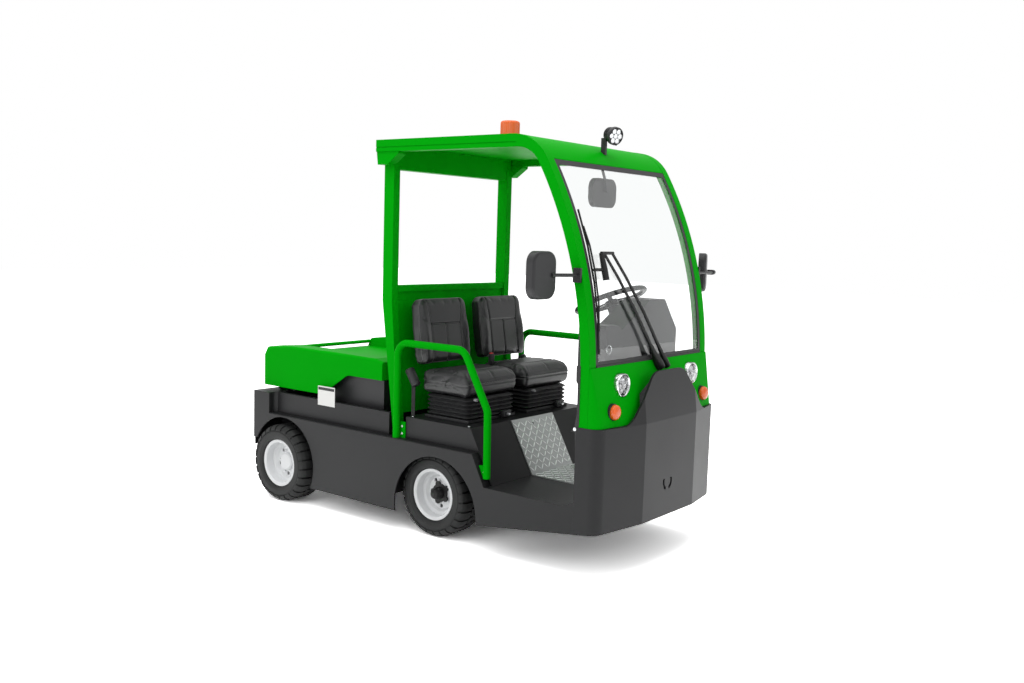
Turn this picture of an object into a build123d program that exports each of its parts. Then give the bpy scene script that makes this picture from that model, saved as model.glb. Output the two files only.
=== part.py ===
from build123d import *
import math
import os

# Airport baggage tug: a battery-electric tow tractor with an open two-seat cab.
# Millimetres. Front of the vehicle towards -Y, its left side towards +X, ground at Z = 0,
# front axle line at Y = 0.

# ---- driving dimensions -------------------------------------------------------------------
wheelbase = 1156.0
body_half = 578.0            # outer face of the chassis side panels
rear_overhang = 277.0        # rear axle line to the rear face
plate = 8.0                  # chassis side plate and folded sheet
slip = 0.5                   # gap between pieces bolted side by side
running = 0.05               # radial clearance of pins and spindles in their bores

# wheels, 200/50-10 on a 6.5 inch rim
tyre_r = 229.0
tyre_w = 198.0
tyre_sides = 48              # flats round the tyre
rim_seat_r = 127.0
rim_flange_r = 140.0
rim_w = 168.0
rim_wall = 6.0
front_tyre_inset = 54.0      # outer face of the front tyre behind the side panel
rear_tyre_proud = 44.0
spindle_r = 30.0
kingpin_inset = 133.0        # kingpin inboard of the wheel's centre plane
kingpin_r = 16.0
steer_angle = 35.0
wheel_room = 10.0            # between the steered tyre and the frame
arm_length = 118.0           # steering arm, kingpin to track rod pin
rod_pin_r = 9.0

# chassis side, seen from the side
ledge_z = 513.0
ledge_w = 51.5               # the upper side walls stand this far inboard
deck_z = 636.0               # top of the rear shoulders and battery rim
sill_z = 352.0               # top of the step
belly_z = 112.0
belly_kink_z = 150.0         # underside just ahead of the front wheels
belly_rise = 0.1275
tail_z = 346.0               # underside of the tail behind the rear wheels
nose_y = -1082.0             # front corner of the side, before it is rounded
step_rear_y = -406.0
step_front_y = -892.0
step_chamfer = 28.0
door_front_y = -955.0
sill_top_y = -322.0
shoulder_len = 145.0
shoulder_in = 158.0          # shoulder top, inboard of the side
steer_arch_r = 290.0
steer_arch_y = -70.0
steer_arch_drop = 64.0       # arch centre below the axle
rear_arch_gap = 43.0

# bumper, in plan and from the front
bumper_plate = 12.0
bumper_z = 741.0
bumper_sweep = 65.0
bumper_bend_x = 255.0
bumper_corner_r = 60.0
tongue_z = 986.0
tongue_low_half = 361.0      # flanks of the tongue, before they are rounded
tongue_top_half = 147.0
tongue_foot_r = 150.0
tongue_top_r = 110.0
tongue_lean = 30.0

# cab
cab_step = 3.0               # side frames inboard of the side panels
pillar_w = 55.0
pillar_d = 50.0
screen_r = 2030.0            # the windscreen and pillars share one arc
screen_y = -1016.0
screen_mid_z = 960.0
screen_low_z = 1022.0
screen_top_z = 1997.0
roof_z = 2115.0
rail_h = 63.0
knee_r = 150.0
roof_t = 26.0
roof_rear_y = 409.0
glass_t = 6.0
seal_w = 24.0
post_step = 63.0             # rear posts inboard of the side panels
post_w = 46.0
post_y = 328.0               # front face of the rear posts
post_d = 72.0
post_knee_z = 1250.0
post_lean = 70.0             # foot of the post ahead of its head
post_foot_d = 40.0
console_foot_y = -930.0      # rear face of the console on the cab floor
fairing_t = 6.0              # moulded front panel ahead of the pillars
fairing_low_d = 92.0         # its depth at the foot and at the windscreen
fairing_top_d = 8.0
fairing_corner_r = 50.0
window_low_z = 1334.0
window_top_z = 1963.0
window_bar = 34.0

# seats
seat_gap = 29.0              # half the gap between the two cushions
seat_w = 450.0
seat_front_y = -205.0
seat_len = 355.0
seat_deck_z = 630.0
seat_box_rear_y = 193.0
seat_box_front_y = -266.0
kick_slope = 0.559           # the front of the seat box leans back above the floor
bellows_h = 132.0
cushion_h = 143.0
back_h = 383.0
back_w = 430.0
back_t = 90.0
back_lean = 9.0

# battery and its cover
battery_half = 450.0
battery_front_y = 440.0
battery_len = 430.0
battery_low_z = 140.0
battery_top_z = 790.0
hood_step = 78.0             # hood sides inboard of the side panels
hood_front_y = 408.0
hood_tail = 7.0              # hood beyond the rear face
hood_low_z = 664.0
hood_top_z = 922.0
hood_cut_z = 800.0
hood_cut_y = 795.0           # middle of the raised front part's slope
hood_floor_z = 846.0
wing_w = 112.0
hood_sheet = 5.0

# steering
wheel_y = -600.0
wheel_z = 1290.0
wheel_tilt = 24.0
steering_r = 205.0
steering_grip_r = 14.0

# coupling
pin_r = 15.0
jaw_gap = 58.0
jaw_plate = 22.0
jaw_low_z = 322.0
jaw_reach = 62.0

# worked out from the driving dimensions
rear_y = wheelbase + rear_overhang
front_track_half = body_half - front_tyre_inset - tyre_w / 2
rear_track_half = body_half + rear_tyre_proud - tyre_w / 2
kingpin_x = front_track_half - kingpin_inset
ledge_half = body_half - ledge_w
cab_half = body_half - cab_step
post_half = body_half - post_step
hood_half = body_half - hood_step
seat_x = seat_gap + seat_w / 2
wheel_x = seat_x - 14
inside = body_half - plate - slip
swing = math.radians(steer_angle)
spine_half = (kingpin_x + (kingpin_inset - tyre_w / 2) * math.cos(swing) - tyre_r * math.sin(swing)
              - wheel_room)
shoulder_y = rear_y - shoulder_len
rim_front_y = post_y - 8
frame_top = ledge_z - plate
rear_arch_r = tyre_r + rear_arch_gap
steer_arch_z = tyre_r - steer_arch_drop
bellows_top_z = seat_deck_z + bellows_h
cushion_top_z = bellows_top_z + cushion_h
wing_in = hood_half - wing_w
hood_rear_y = rear_y + hood_tail
jaw_y = rear_y + jaw_reach

os.makedirs("parts", exist_ok=True)
SIDES = {"right": -1, "left": 1}


def save(name, shape):
    """Write one node, as one solid or as a compound of separate ones."""
    solids = shape.solids()
    whole = solids[0] if len(solids) == 1 else Compound(children=list(solids))
    whole.label = name
    export_step(whole, f"parts/{name}.step")


def box(x0, x1, y0, y1, z0, z1):
    """A block between two corners, in any order."""
    size = (abs(x1 - x0), abs(y1 - y0), abs(z1 - z0))
    return Pos((x0 + x1) / 2, (y0 + y1) / 2, (z0 + z1) / 2) * Box(*size)


def side_face(points):
    """A face in the YZ plane from (y, z) points."""
    return make_face(Polyline(*[(0, y, z) for y, z in points], close=True))


def across(face, x0, x1):
    """Carry a YZ face from x0 to x1."""
    return extrude(Pos(min(x0, x1), 0, 0) * face, amount=abs(x1 - x0), dir=(1, 0, 0))


def both(shape):
    """The shape and its mirror image on the other side of the vehicle."""
    return shape + mirror(shape, about=Plane.YZ)


def lying(y, z, r, x0, x1):
    """A round bar along X."""
    return Pos((x0 + x1) / 2, y, z) * Rot(0, 90, 0) * Cylinder(r, abs(x1 - x0))


def upright(x, y, r, z0, z1):
    """A round bar along Z."""
    return Pos(x, y, (z0 + z1) / 2) * Cylinder(r, abs(z1 - z0))


def round_bar(p, q, r):
    """A round bar between two points."""
    path = Line(p, q)
    return sweep(Plane(origin=path @ 0, z_dir=path % 0) * Circle(r), path=path)


# ---- wheels -------------------------------------------------------------------------------
bead = rim_w / 2 - rim_wall - 0.2
wheel_centre = Pos(0, 0, tyre_r)
bolt_count = 5
bolt_circle_r = 75.0
vent_r = 11.0
disc = 12.0                  # outer face of the wheel disc from the wheel's centre plane
hub_r = 52.0
front_hub_out = disc + 8


def band_of_flats(stations):
    """A solid through regular polygons, one for each (x, r) station, with a flat at the bottom."""
    turn = Rot(0, 0, 180.0 / tyre_sides)
    rings = [Plane(origin=(x, 0, 0), x_dir=(0, 1, 0), z_dir=(1, 0, 0))
             * turn * RegularPolygon(r, tyre_sides, major_radius=False) for x, r in stations]
    return loft(rings, ruled=True)


def tyre(x, y):
    """Tyre with rounded shoulders and tucked-in beads; its tread surface is left smooth."""
    half = tyre_w / 2
    side = [(bead, rim_flange_r + 6), (half, tyre_r - 52), (half - 13, tyre_r - 10), (half - 33, tyre_r)]
    outer = band_of_flats([(-sx, r) for sx, r in side] + list(reversed(side)))
    outer -= band_of_flats([(-half - 1, rim_seat_r + 0.3), (half + 1, rim_seat_r + 0.3)])
    return Pos(x, y, 0) * wheel_centre * outer


def ring(points):
    """Revolve (x, r) points about the wheel's axle line."""
    return revolve(make_face(Polyline(*[(px, 0, pr) for px, pr in points], close=True)), axis=Axis.X)


def rim(x, y, side, hub_out):
    """Steel rim with dished disc, vent holes and the hub that runs on the spindle."""
    h = rim_w / 2
    w = rim_wall
    inner = rim_seat_r - w
    hub_in = -40.0
    barrel = ring([(-h, inner + 4), (-h, rim_flange_r), (-h + w, rim_flange_r),
                   (-h + w, rim_seat_r), (h - w, rim_seat_r), (h - w, rim_flange_r),
                   (h, rim_flange_r), (h, inner + 4), (h - w, inner), (-h + w, inner)])
    flat_r = bolt_circle_r + vent_r + 3
    web = ring([(disc, spindle_r + 4), (disc, flat_r), (disc + 18, flat_r + 12), (disc + 18, inner + 2),
                (disc + 10, inner + 2), (disc + 10, flat_r + 15), (disc - 10, flat_r + 3),
                (disc - 10, spindle_r + 4)])
    for i in range(bolt_count):
        web -= Rot(360.0 * (i + 0.5) / bolt_count, 0, 0) * lying(0, bolt_circle_r, vent_r, disc - 20, disc + 20)
    hub = ring([(hub_in, spindle_r), (hub_in, spindle_r + 26), (disc - 10, spindle_r + 26),
                (disc - 10, hub_r), (hub_out - 6, hub_r), (hub_out, hub_r - 8), (hub_out, 0),
                (disc, 0), (disc - 22, 0), (disc - 22, spindle_r)])
    whole = barrel + web + hub
    if side < 0:
        whole = mirror(whole, about=Plane.YZ)
    return Pos(x, y, 0) * wheel_centre * whole


def front_hub(x, side):
    """Hub cap with five lobes round a blunt boss."""
    face = front_hub_out
    cap = ring([(face, 0), (face, 34), (face + 38, 32), (face + 56, 24), (face + 64, 10), (face + 64, 0)])
    cap += lying(0, 0, hub_r - 2, face, face + 10)
    for i in range(bolt_count):
        cap += Rot(360.0 * i / bolt_count, 0, 0) * lying(hub_r - 4, 0, 16, face, face + 10)
    if side < 0:
        cap = mirror(cap, about=Plane.YZ)
    return Pos(x, 0, 0) * wheel_centre * cap


for name, s in SIDES.items():
    save(f"tyre_front_{name}", tyre(s * front_track_half, 0))
    save(f"tyre_rear_{name}", tyre(s * rear_track_half, wheelbase))
    save(f"rim_front_{name}", rim(s * front_track_half, 0, s, front_hub_out))
    save(f"hub_front_{name}", front_hub(s * front_track_half, s))
    save(f"rim_rear_{name}", rim(s * rear_track_half, wheelbase, s, disc + 24))

# ---- axles, steering knuckles and track rod -----------------------------------------------
boss_r = 31.0
boss_half = 40.0
ear_w = 76.0
ear_t = 26.0
web_half = 30.0              # the yoke's web, kept narrow so that the steering arm swings past it
web_gap = 44.0               # kingpin to the outer face of the web
beam_half_h = 34.0
beam_half_d = 36.0
pivot_r = 30.0
arm_half = 12.0
arm_t = 22.0
spindle_end = 13.0
rod_z = tyre_r - arm_t / 2 - 14


def knuckle(s):
    """Kingpin with its boss, wheel spindle, steering arm and the track rod's pin."""
    x = s * kingpin_x
    shape = upright(x, 0, boss_r, tyre_r - boss_half + 1, tyre_r + boss_half - 1)
    shape += upright(x, 0, kingpin_r, tyre_r - boss_half - ear_t - 4, tyre_r + boss_half + ear_t + 4)
    shape += lying(0, tyre_r, spindle_r - 4, x, s * (front_track_half - 46))
    shape += lying(0, tyre_r, spindle_r - running, s * (front_track_half - 50), s * (front_track_half - spindle_end))
    arm = box(x - arm_half, x + arm_half, 0, arm_length, tyre_r - arm_t / 2, tyre_r + arm_t / 2)
    arm += upright(x, arm_length, arm_half + 6, tyre_r - arm_t / 2, tyre_r + arm_t / 2)
    arm += upright(x, arm_length, rod_pin_r, rod_z - 16, tyre_r)
    return shape + arm


for name, s in SIDES.items():
    save(f"knuckle_{name}", knuckle(s))

eye_r = 19.0
track_rod = lying(arm_length, rod_z, 11, -kingpin_x, kingpin_x)
for s, clear in ((-1, running), (1, 0.5)):
    track_rod += upright(s * kingpin_x, arm_length, eye_r, rod_z - 12, rod_z + 12)
    track_rod -= upright(s * kingpin_x, arm_length, rod_pin_r + clear, rod_z - 30, rod_z + 30)
save("track_rod", track_rod)

beam_end = kingpin_x - web_gap
taper = [(-beam_half_d, tyre_r - beam_half_h), (beam_half_d, tyre_r - beam_half_h),
         (beam_half_d, tyre_r + beam_half_h), (-beam_half_d, tyre_r + beam_half_h)]
beam = across(side_face(taper), -beam_end + 20, beam_end - 20)
for s in (-1, 1):
    for z0 in (tyre_r - boss_half - ear_t, tyre_r + boss_half):
        beam += box(s * (beam_end - 22), s * kingpin_x, -ear_w / 2, ear_w / 2, z0, z0 + ear_t)
        beam += upright(s * kingpin_x, 0, ear_w / 2, z0, z0 + ear_t)
    beam += box(s * (beam_end - 22), s * beam_end, -web_half, web_half,
                tyre_r - boss_half - ear_t, tyre_r + boss_half + ear_t)
    beam -= upright(s * kingpin_x, 0, kingpin_r + running, 0, 2 * tyre_r)
pivot_reach = beam_half_d + 26
pivot = Pos(0, 0, tyre_r) * Rot(90, 0, 0) * Cylinder(pivot_r, 2 * pivot_reach)
beam += pivot
beam += lying(-beam_half_d - 26, tyre_r - 6, 22, 70, beam_end - 10)
beam += box(90, 120, -beam_half_d - 20, -beam_half_d + 2, tyre_r - 24, tyre_r + 10)
save("front_axle", beam)

drive_r = 92.0
tube_r = 48.0
drum_r = 66.0
spring_x = 330.0
spring_half_w = 30.0
leaf_t = 7.0
leaf_halves = (120.0, 170.0, 225.0)
pad_top = tyre_r + tube_r + 4
axle_end = rear_track_half - 48
rear_axle = lying(wheelbase, tyre_r, tube_r, -axle_end, axle_end)
rear_axle += lying(wheelbase, tyre_r, drive_r, -120, 150)
rear_axle += lying(wheelbase, tyre_r, drive_r - 24, -190, -110)
for s in (-1, 1):
    rear_axle += lying(wheelbase, tyre_r, drum_r, s * (axle_end - 40), s * axle_end)
    rear_axle += lying(wheelbase, tyre_r, spindle_r - running, s * axle_end, s * (rear_track_half - spindle_end))
    rear_axle += box(s * (spring_x - spring_half_w), s * (spring_x + spring_half_w),
                     wheelbase - 50, wheelbase + 50, tyre_r, pad_top)
save("rear_axle", rear_axle)

spring_eye_r = 15.0
spring_pin_r = 8.0
eye_z = pad_top + 2.5 * leaf_t
springs = None
for s in (-1, 1):
    x0, x1 = s * (spring_x - spring_half_w), s * (spring_x + spring_half_w)
    spring = box(x0, x1, wheelbase - 40, wheelbase + 40, pad_top, pad_top + 3 * leaf_t)
    for i, half in enumerate(leaf_halves):
        spring += box(x0, x1, wheelbase - half, wheelbase + half, pad_top + i * leaf_t, pad_top + (i + 1) * leaf_t)
    for y in (wheelbase - leaf_halves[-1], wheelbase + leaf_halves[-1]):
        spring += lying(y, eye_z, spring_eye_r, x0, x1)
        spring += lying(y, eye_z, spring_pin_r, s * (spring_x - spring_half_w - 10),
                        s * (spring_x + spring_half_w + 10))
    springs = spring if springs is None else springs + spring
save("rear_springs", springs)

# ---- chassis ------------------------------------------------------------------------------


def kick_y(z):
    """Where the leaning front of the seat box is at height z."""
    return seat_box_front_y - kick_slope * (seat_deck_z - z)


belly_front_y = steer_arch_y - steer_arch_r - 30


def belly(y):
    """Height of the rising underside ahead of the front wheels."""
    return belly_kink_z + (belly_front_y - y) * belly_rise


side_outline = [(rear_y, deck_z), (rear_y, tail_z), (wheelbase, tail_z), (wheelbase, belly_z),
                (steer_arch_y, belly_z), (belly_front_y, belly_kink_z), (door_front_y, belly(door_front_y)),
                (door_front_y, sill_z + step_chamfer), (step_front_y, sill_z), (step_rear_y, sill_z),
                (sill_top_y, ledge_z), (shoulder_y, ledge_z), (shoulder_y, deck_z)]
flange = [(shoulder_y, ledge_z), (sill_top_y, ledge_z), (step_rear_y, sill_z), (step_front_y, sill_z),
          (door_front_y, sill_z + step_chamfer), (door_front_y, sill_z + step_chamfer - plate),
          (step_front_y + 1, sill_z - plate), (step_rear_y + 5, sill_z - plate),
          (sill_top_y + 5, frame_top), (shoulder_y, frame_top)]
for name, s in SIDES.items():
    panel = across(side_face(side_outline), s * (body_half - plate), s * body_half)
    panel += across(side_face(flange), s * ledge_half, s * body_half)
    panel -= lying(wheelbase, tyre_r, rear_arch_r, s * (ledge_half - 10), s * (body_half + 10))
    panel -= lying(steer_arch_y, steer_arch_z, steer_arch_r, s * (ledge_half - 10), s * (body_half + 10))
    rounded = panel.edges().filter_by(Axis.Y).filter_by(
        lambda e: abs(abs(e.center().X) - body_half) < 1 and abs(e.center().Z - ledge_z) < 1)
    save(f"side_panel_{name}", fillet(rounded, 5))

# frame: front step box, spine between the steered wheels, battery well, rear rails
floor_z = sill_z - plate
front_wall_y = belly_front_y - 25
well_front_y = battery_front_y - 12 - plate
well_rear_y = battery_front_y + battery_len + 12
well_half = battery_half + 20
spine_low = belly_z + 10
axle_room = 30.0
pocket_z = tyre_r + boss_half + ear_t + axle_room
pocket_front = -beam_half_d - 56
pocket_rear = arm_length + 32
beam_top = frame_top - 12

# step box under the cab floor: belly plate, front and rear walls, two ribs
step_front = door_front_y + 10
step_side = side_face([(step_front, belly(step_front)), (front_wall_y, belly(front_wall_y)),
                       (front_wall_y, floor_z), (step_front, floor_z)])
step_room = side_face([(step_front + plate, belly(door_front_y) + plate),
                       (front_wall_y - plate, belly(front_wall_y) + plate),
                       (front_wall_y - plate, floor_z + 1), (step_front + plate, floor_z + 1)])
step_frame = across(step_side, -inside, inside) - across(step_room, -inside + 1, inside - 1)
rib = side_face([(step_front + 2, belly(door_front_y) + 4), (front_wall_y - 2, belly(front_wall_y) + 4),
                 (front_wall_y - 2, floor_z), (step_front + 2, floor_z)])
step_frame += both(across(rib, spine_half - plate, spine_half))
save("step_frame", step_frame)

# spine: two side plates notched for the front axle, with the walls and roof of that pocket
spine_side = [(front_wall_y, spine_low + 34), (pocket_front - 60, spine_low), (pocket_front, spine_low),
              (pocket_front, pocket_z), (pocket_rear, pocket_z), (pocket_rear, spine_low),
              (well_front_y, spine_low), (well_front_y, beam_top), (front_wall_y + 110, beam_top),
              (front_wall_y, floor_z)]
spine = both(across(side_face(spine_side), spine_half - plate, spine_half))
spine += box(-spine_half, spine_half, pocket_front, pocket_rear, pocket_z, pocket_z + plate)
spine += box(-spine_half, spine_half, pocket_front - plate, pocket_front, spine_low, pocket_z + plate)
spine += box(-spine_half, spine_half, pocket_rear, pocket_rear + plate, spine_low, pocket_z + plate)
spine += box(-inside, inside, kick_y(frame_top) + 20, well_front_y, beam_top, frame_top)
save("spine_frame", spine)

# the two bearings that the front axle swings in
hangers = None
for y in (-pivot_reach, beam_half_d + 2):
    hanger = box(-70, 70, y, y + pivot_reach - beam_half_d - 2, tyre_r - 50, pocket_z)
    hanger -= Pos(0, 0, tyre_r) * Rot(90, 0, 0) * Cylinder(pivot_r + running, 400)
    hangers = hanger if hangers is None else hangers + hanger
save("axle_hangers", hangers)

well = box(-well_half - plate, well_half + plate, well_front_y, well_rear_y + plate,
           battery_low_z - plate, frame_top)
well -= box(-well_half, well_half, well_front_y + plate, well_rear_y, battery_low_z, frame_top + 1)
well += both(box(well_half, inside, well_front_y, well_front_y + plate, belly_z + plate, frame_top))
save("battery_well", well)

# rear rails with the spring cheeks, and the deck over them
rail_front_y = well_rear_y + plate
rail_low_z = pad_top + 3 * leaf_t + 28
rail_half_w = spring_half_w + 12
rail = box(spring_x - rail_half_w, spring_x + rail_half_w, rail_front_y, rear_y - plate, rail_low_z, beam_top)
rail -= box(spring_x - rail_half_w + plate, spring_x + rail_half_w - plate, rail_front_y + plate,
            rear_y, rail_low_z + plate, beam_top + 1)
for y in (wheelbase - leaf_halves[-1], wheelbase + leaf_halves[-1]):
    for x in (spring_x - spring_half_w - 10, spring_x + spring_half_w + 1):
        cheek = box(x, x + 9, y - 22, y + 22, eye_z - 4, rail_low_z)
        cheek += lying(y, eye_z, 22, x, x + 9)
        rail += cheek
    rail -= lying(y, eye_z, spring_pin_r + running, spring_x - 60, spring_x + 60)
rails = both(rail)
rails += box(-ledge_half + plate, ledge_half - plate, rail_front_y, rear_y - plate, beam_top, frame_top)
save("rear_rails", rails)

cover_in = cab_half - 10
nose_cover = [(-cover_in, door_front_y - 1), (-cover_in, nose_y + 48), (-cover_in + 48, nose_y + bumper_plate - 4),
              (-bumper_bend_x, nose_y - bumper_sweep + bumper_plate + 5),
              (bumper_bend_x, nose_y - bumper_sweep + bumper_plate + 5),
              (cover_in - 48, nose_y + bumper_plate - 4), (cover_in, nose_y + 48), (cover_in, door_front_y - 1)]
cover = extrude(make_face(Polyline(*nose_cover, close=True)), amount=plate)
save("nose_cover", Pos(0, 0, bumper_z - plate) * cover)

# rear block: rear plate and the two shoulders over the wheels
rear_block = box(-inside, inside, rear_y - plate, rear_y, tail_z - 46, deck_z)
for s in (-1, 1):
    x0, x1 = s * (body_half - shoulder_in), s * inside
    rear_block += box(x0, x1, shoulder_y, rear_y, deck_z - plate, deck_z)
    rear_block += box(x0, x1, shoulder_y, shoulder_y + plate, ledge_z, deck_z)
    rear_block += box(x0, x0 + s * plate, shoulder_y, rear_y, ledge_z, deck_z)
    corner = box(s * ledge_half, s * (ledge_half + 24), shoulder_y - 24, shoulder_y, ledge_z, deck_z)
    corner -= upright(s * (ledge_half + 24), shoulder_y - 24, 24, ledge_z, deck_z)
    rear_block += corner
    rear_block -= lying(wheelbase, tyre_r, rear_arch_r, s * (rear_track_half - tyre_w / 2 - 18), s * (body_half + 10))
save("rear_block", rear_block)

# battery rim: the upper side walls round the battery
rim_rear_y = shoulder_y - slip
rim_walls = box(-ledge_half, ledge_half, rim_front_y, rim_rear_y, ledge_z, deck_z)
rim_walls -= box(-ledge_half + plate, ledge_half - plate, rim_front_y + plate, rim_rear_y - plate,
                 ledge_z - 1, deck_z + 1)
lip = box(-ledge_half, ledge_half, rim_front_y, rim_rear_y, deck_z - 4, deck_z)
lip -= box(-ledge_half + 26, ledge_half - 26, rim_front_y + 26, rim_rear_y - 26, deck_z - 5, deck_z + 1)
save("battery_rim", rim_walls + lip)
save("battery", box(-battery_half, battery_half, battery_front_y, battery_front_y + battery_len,
                    battery_low_z, battery_top_z))

# seat box with its leaning front
profile = side_face([(seat_box_rear_y, ledge_z), (seat_box_rear_y, seat_deck_z), (seat_box_front_y, seat_deck_z),
                     (kick_y(sill_z), sill_z), (kick_y(sill_z) + plate, sill_z),
                     (kick_y(ledge_z) + plate, ledge_z)])
room = side_face([(seat_box_rear_y - plate, ledge_z - 1), (seat_box_rear_y - plate, seat_deck_z - plate),
                  (seat_box_front_y + 4, seat_deck_z - plate), (kick_y(ledge_z - 1) + plate + 1, ledge_z - 1)])
seat_box = across(profile, -ledge_half + slip, ledge_half - slip)
seat_box -= across(room, -ledge_half + plate, ledge_half - plate)
save("seat_box", seat_box)

save("floor_plate", box(-ledge_half + slip, ledge_half - slip, door_front_y + 14, kick_y(sill_z) - slip,
                        floor_z, sill_z))
tread_t = 5.0
checker_half = 190.0
lean_t = tread_t * math.sqrt(1 + kick_slope ** 2)
checker = side_face([(seat_box_front_y, seat_deck_z), (seat_box_front_y - lean_t, seat_deck_z),
                     (kick_y(sill_z + tread_t) - lean_t, sill_z + tread_t),
                     (console_foot_y + 2, sill_z + tread_t), (console_foot_y + 2, sill_z),
                     (kick_y(sill_z), sill_z)])
save("checker_plate", across(checker, -checker_half, checker_half))

# ---- front bumper -------------------------------------------------------------------------
mid_y = nose_y - bumper_sweep
slant = math.atan2(bumper_sweep, body_half - bumper_bend_x)


def bumper_plan(offset):
    """Half of the bumper's outline in plan, moved inwards by offset."""
    side = body_half - offset
    bend_x = bumper_bend_x - offset * math.tan(slant / 2)
    corner_y = mid_y + offset + (side - bend_x) * math.tan(slant)
    return [(side, door_front_y), (side, corner_y), (bend_x, mid_y + offset)]


outer = bumper_plan(0)
inner = bumper_plan(bumper_plate)
outline = outer + [(-x, y) for x, y in reversed(outer)]
plan = make_face(Polyline(*outline, close=True))
plan = fillet(plan.vertices().filter_by(lambda v: abs(abs(v.X) - body_half) < 1 and v.Y < door_front_y - 1),
              bumper_corner_r)
room_outline = inner + [(-x, y) for x, y in reversed(inner)]
bumper_room = make_face(Polyline(*room_outline, close=True))
bumper_room = fillet(bumper_room.vertices().filter_by(
    lambda v: abs(abs(v.X) - inner[0][0]) < 1 and v.Y < door_front_y - 1), bumper_corner_r - bumper_plate)
plan -= bumper_room
skirt = 200.0
shell = Pos(0, 0, skirt) * extrude(plan, amount=bumper_z - skirt)
under = side_face([(door_front_y + 20, skirt - 50), (door_front_y + 20, belly(door_front_y + 20)),
                   (mid_y - 20, belly(mid_y - 20)), (mid_y - 20, skirt - 50)])
shell -= across(under, -body_half - 40, body_half + 40)
flanks = Polyline((tongue_low_half + 250, 0, bumper_z - 40), (tongue_low_half + 250, 0, bumper_z),
                  (tongue_low_half, 0, bumper_z), (tongue_top_half, 0, tongue_z), (-tongue_top_half, 0, tongue_z),
                  (-tongue_low_half, 0, bumper_z), (-tongue_low_half - 250, 0, bumper_z),
                  (-tongue_low_half - 250, 0, bumper_z - 40), close=True)
face = make_face(flanks)
face = fillet(face.vertices().filter_by(lambda v: abs(abs(v.X) - tongue_low_half) < 1), tongue_foot_r)
face = fillet(face.vertices().filter_by(lambda v: v.Z > tongue_z - 1), tongue_top_r)
tongue = extrude(Pos(0, mid_y, 0) * face, amount=150, both=True)
tongue &= Pos(0, 0, bumper_z) * extrude(plan, amount=tongue_z - bumper_z)
lean = math.degrees(math.atan2(tongue_lean, tongue_z - bumper_z))
tongue = Pos(0, mid_y, bumper_z) * Rot(-lean, 0, 0) * Pos(0, -mid_y, -bumper_z) * tongue
slot_x = -22.0
slot_z = 420.0
slot_out_r = 46.0
slot_in_r = 30.0
slots = None
for s in (-1, 1):
    slot = Pos(slot_x, mid_y, slot_z) * Rot(90, 0, 0) * (Cylinder(slot_out_r, 60) - Cylinder(slot_in_r, 60))
    slot &= box(slot_x + s * 14, slot_x + s * 60, mid_y - 20, mid_y + 40, slot_z - 40, slot_z + 16)
    slots = slot if slots is None else slots + slot
save("front_bumper", shell + tongue - slots)

# ---- cab ----------------------------------------------------------------------------------
arc_c = (screen_y + screen_r, screen_mid_z)


def arc_y(r, z):
    """The cab's front arc of radius r, concentric with the windscreen."""
    return arc_c[0] - math.sqrt(r * r - (z - arc_c[1]) ** 2)


def arc(r, z0, z1):
    zm = (z0 + z1) / 2
    return ThreePointArc((0, arc_y(r, z0), z0), (0, arc_y(r, zm), zm), (0, arc_y(r, z1), z1))


brow_y = arc_y(screen_r, screen_top_z)
slope = math.atan2(screen_top_z - arc_c[1], arc_c[0] - brow_y)
brow = (roof_z - screen_top_z) / (1 - math.sin(slope))
brow_c = (brow_y + brow * math.cos(slope), screen_top_z - brow * math.sin(slope))


def brow_point(r, a):
    return (0, brow_c[0] + r * math.cos(a), brow_c[1] + r * math.sin(a))


def brow_arc(r):
    """The quarter where the windscreen's arc turns into the flat roof."""
    start = math.pi - slope
    return ThreePointArc(brow_point(r, start), brow_point(r, (start + math.pi / 2) / 2), brow_point(r, math.pi / 2))


def brow_z(r, y):
    """Height of the brow of radius r at y."""
    return brow_c[1] + math.sqrt(r * r - (y - brow_c[0]) ** 2)


pillar_foot_z = bumper_z
inner_r = screen_r - pillar_d
rail_low = roof_z - rail_h
knee_y = arc_y(inner_r, rail_low)
band = make_face([
    Line((0, screen_y, pillar_foot_z), (0, screen_y, screen_mid_z)),
    arc(screen_r, screen_mid_z, screen_top_z),
    brow_arc(brow),
    Line((0, brow_c[0], roof_z), (0, roof_rear_y, roof_z)),
    Line((0, roof_rear_y, roof_z), (0, roof_rear_y, rail_low)),
    Line((0, roof_rear_y, rail_low), (0, knee_y, rail_low)),
    arc(inner_r, rail_low, screen_mid_z),
    Line((0, screen_y + pillar_d, screen_mid_z), (0, screen_y + pillar_d, pillar_foot_z)),
    Line((0, screen_y + pillar_d, pillar_foot_z), (0, screen_y, pillar_foot_z)),
])
knee = band.vertices().filter_by(lambda v: abs(v.Y - knee_y) < 1 and abs(v.Z - rail_low) < 1)
band = fillet(knee, knee_r)
for name, s in SIDES.items():
    side = across(band, s * (cab_half - pillar_w), s * cab_half)
    groove = box(s * (cab_half - 3), s * (cab_half + 1), brow_c[0] - 20, roof_rear_y + 1,
                 rail_low + 20, rail_low + 25)
    save(f"cab_frame_{name}", side - groove)

roof_in = cab_half - pillar_w - slip
skin = 1.0
top = [(brow_c[0], roof_z - skin), (roof_rear_y, roof_z - skin), (roof_rear_y, roof_z - skin - roof_t),
       (brow_c[0], roof_z - skin - roof_t)]
roof = across(side_face(top), -roof_in, roof_in)
bend = (lying(*brow_c, brow - skin, -roof_in, roof_in)
        - lying(*brow_c, brow - skin - roof_t, -roof_in - 1, roof_in + 1))
reach = 2 * brow
wedge = side_face([brow_c, (brow_c[0], brow_c[1] + reach), (brow_c[0] - reach, brow_c[1] + reach),
                   (brow_c[0] - reach, brow_c[1] + reach * math.tan(slope))])
roof += bend & across(wedge, -roof_in, roof_in)
save("roof_panel", roof)


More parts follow.
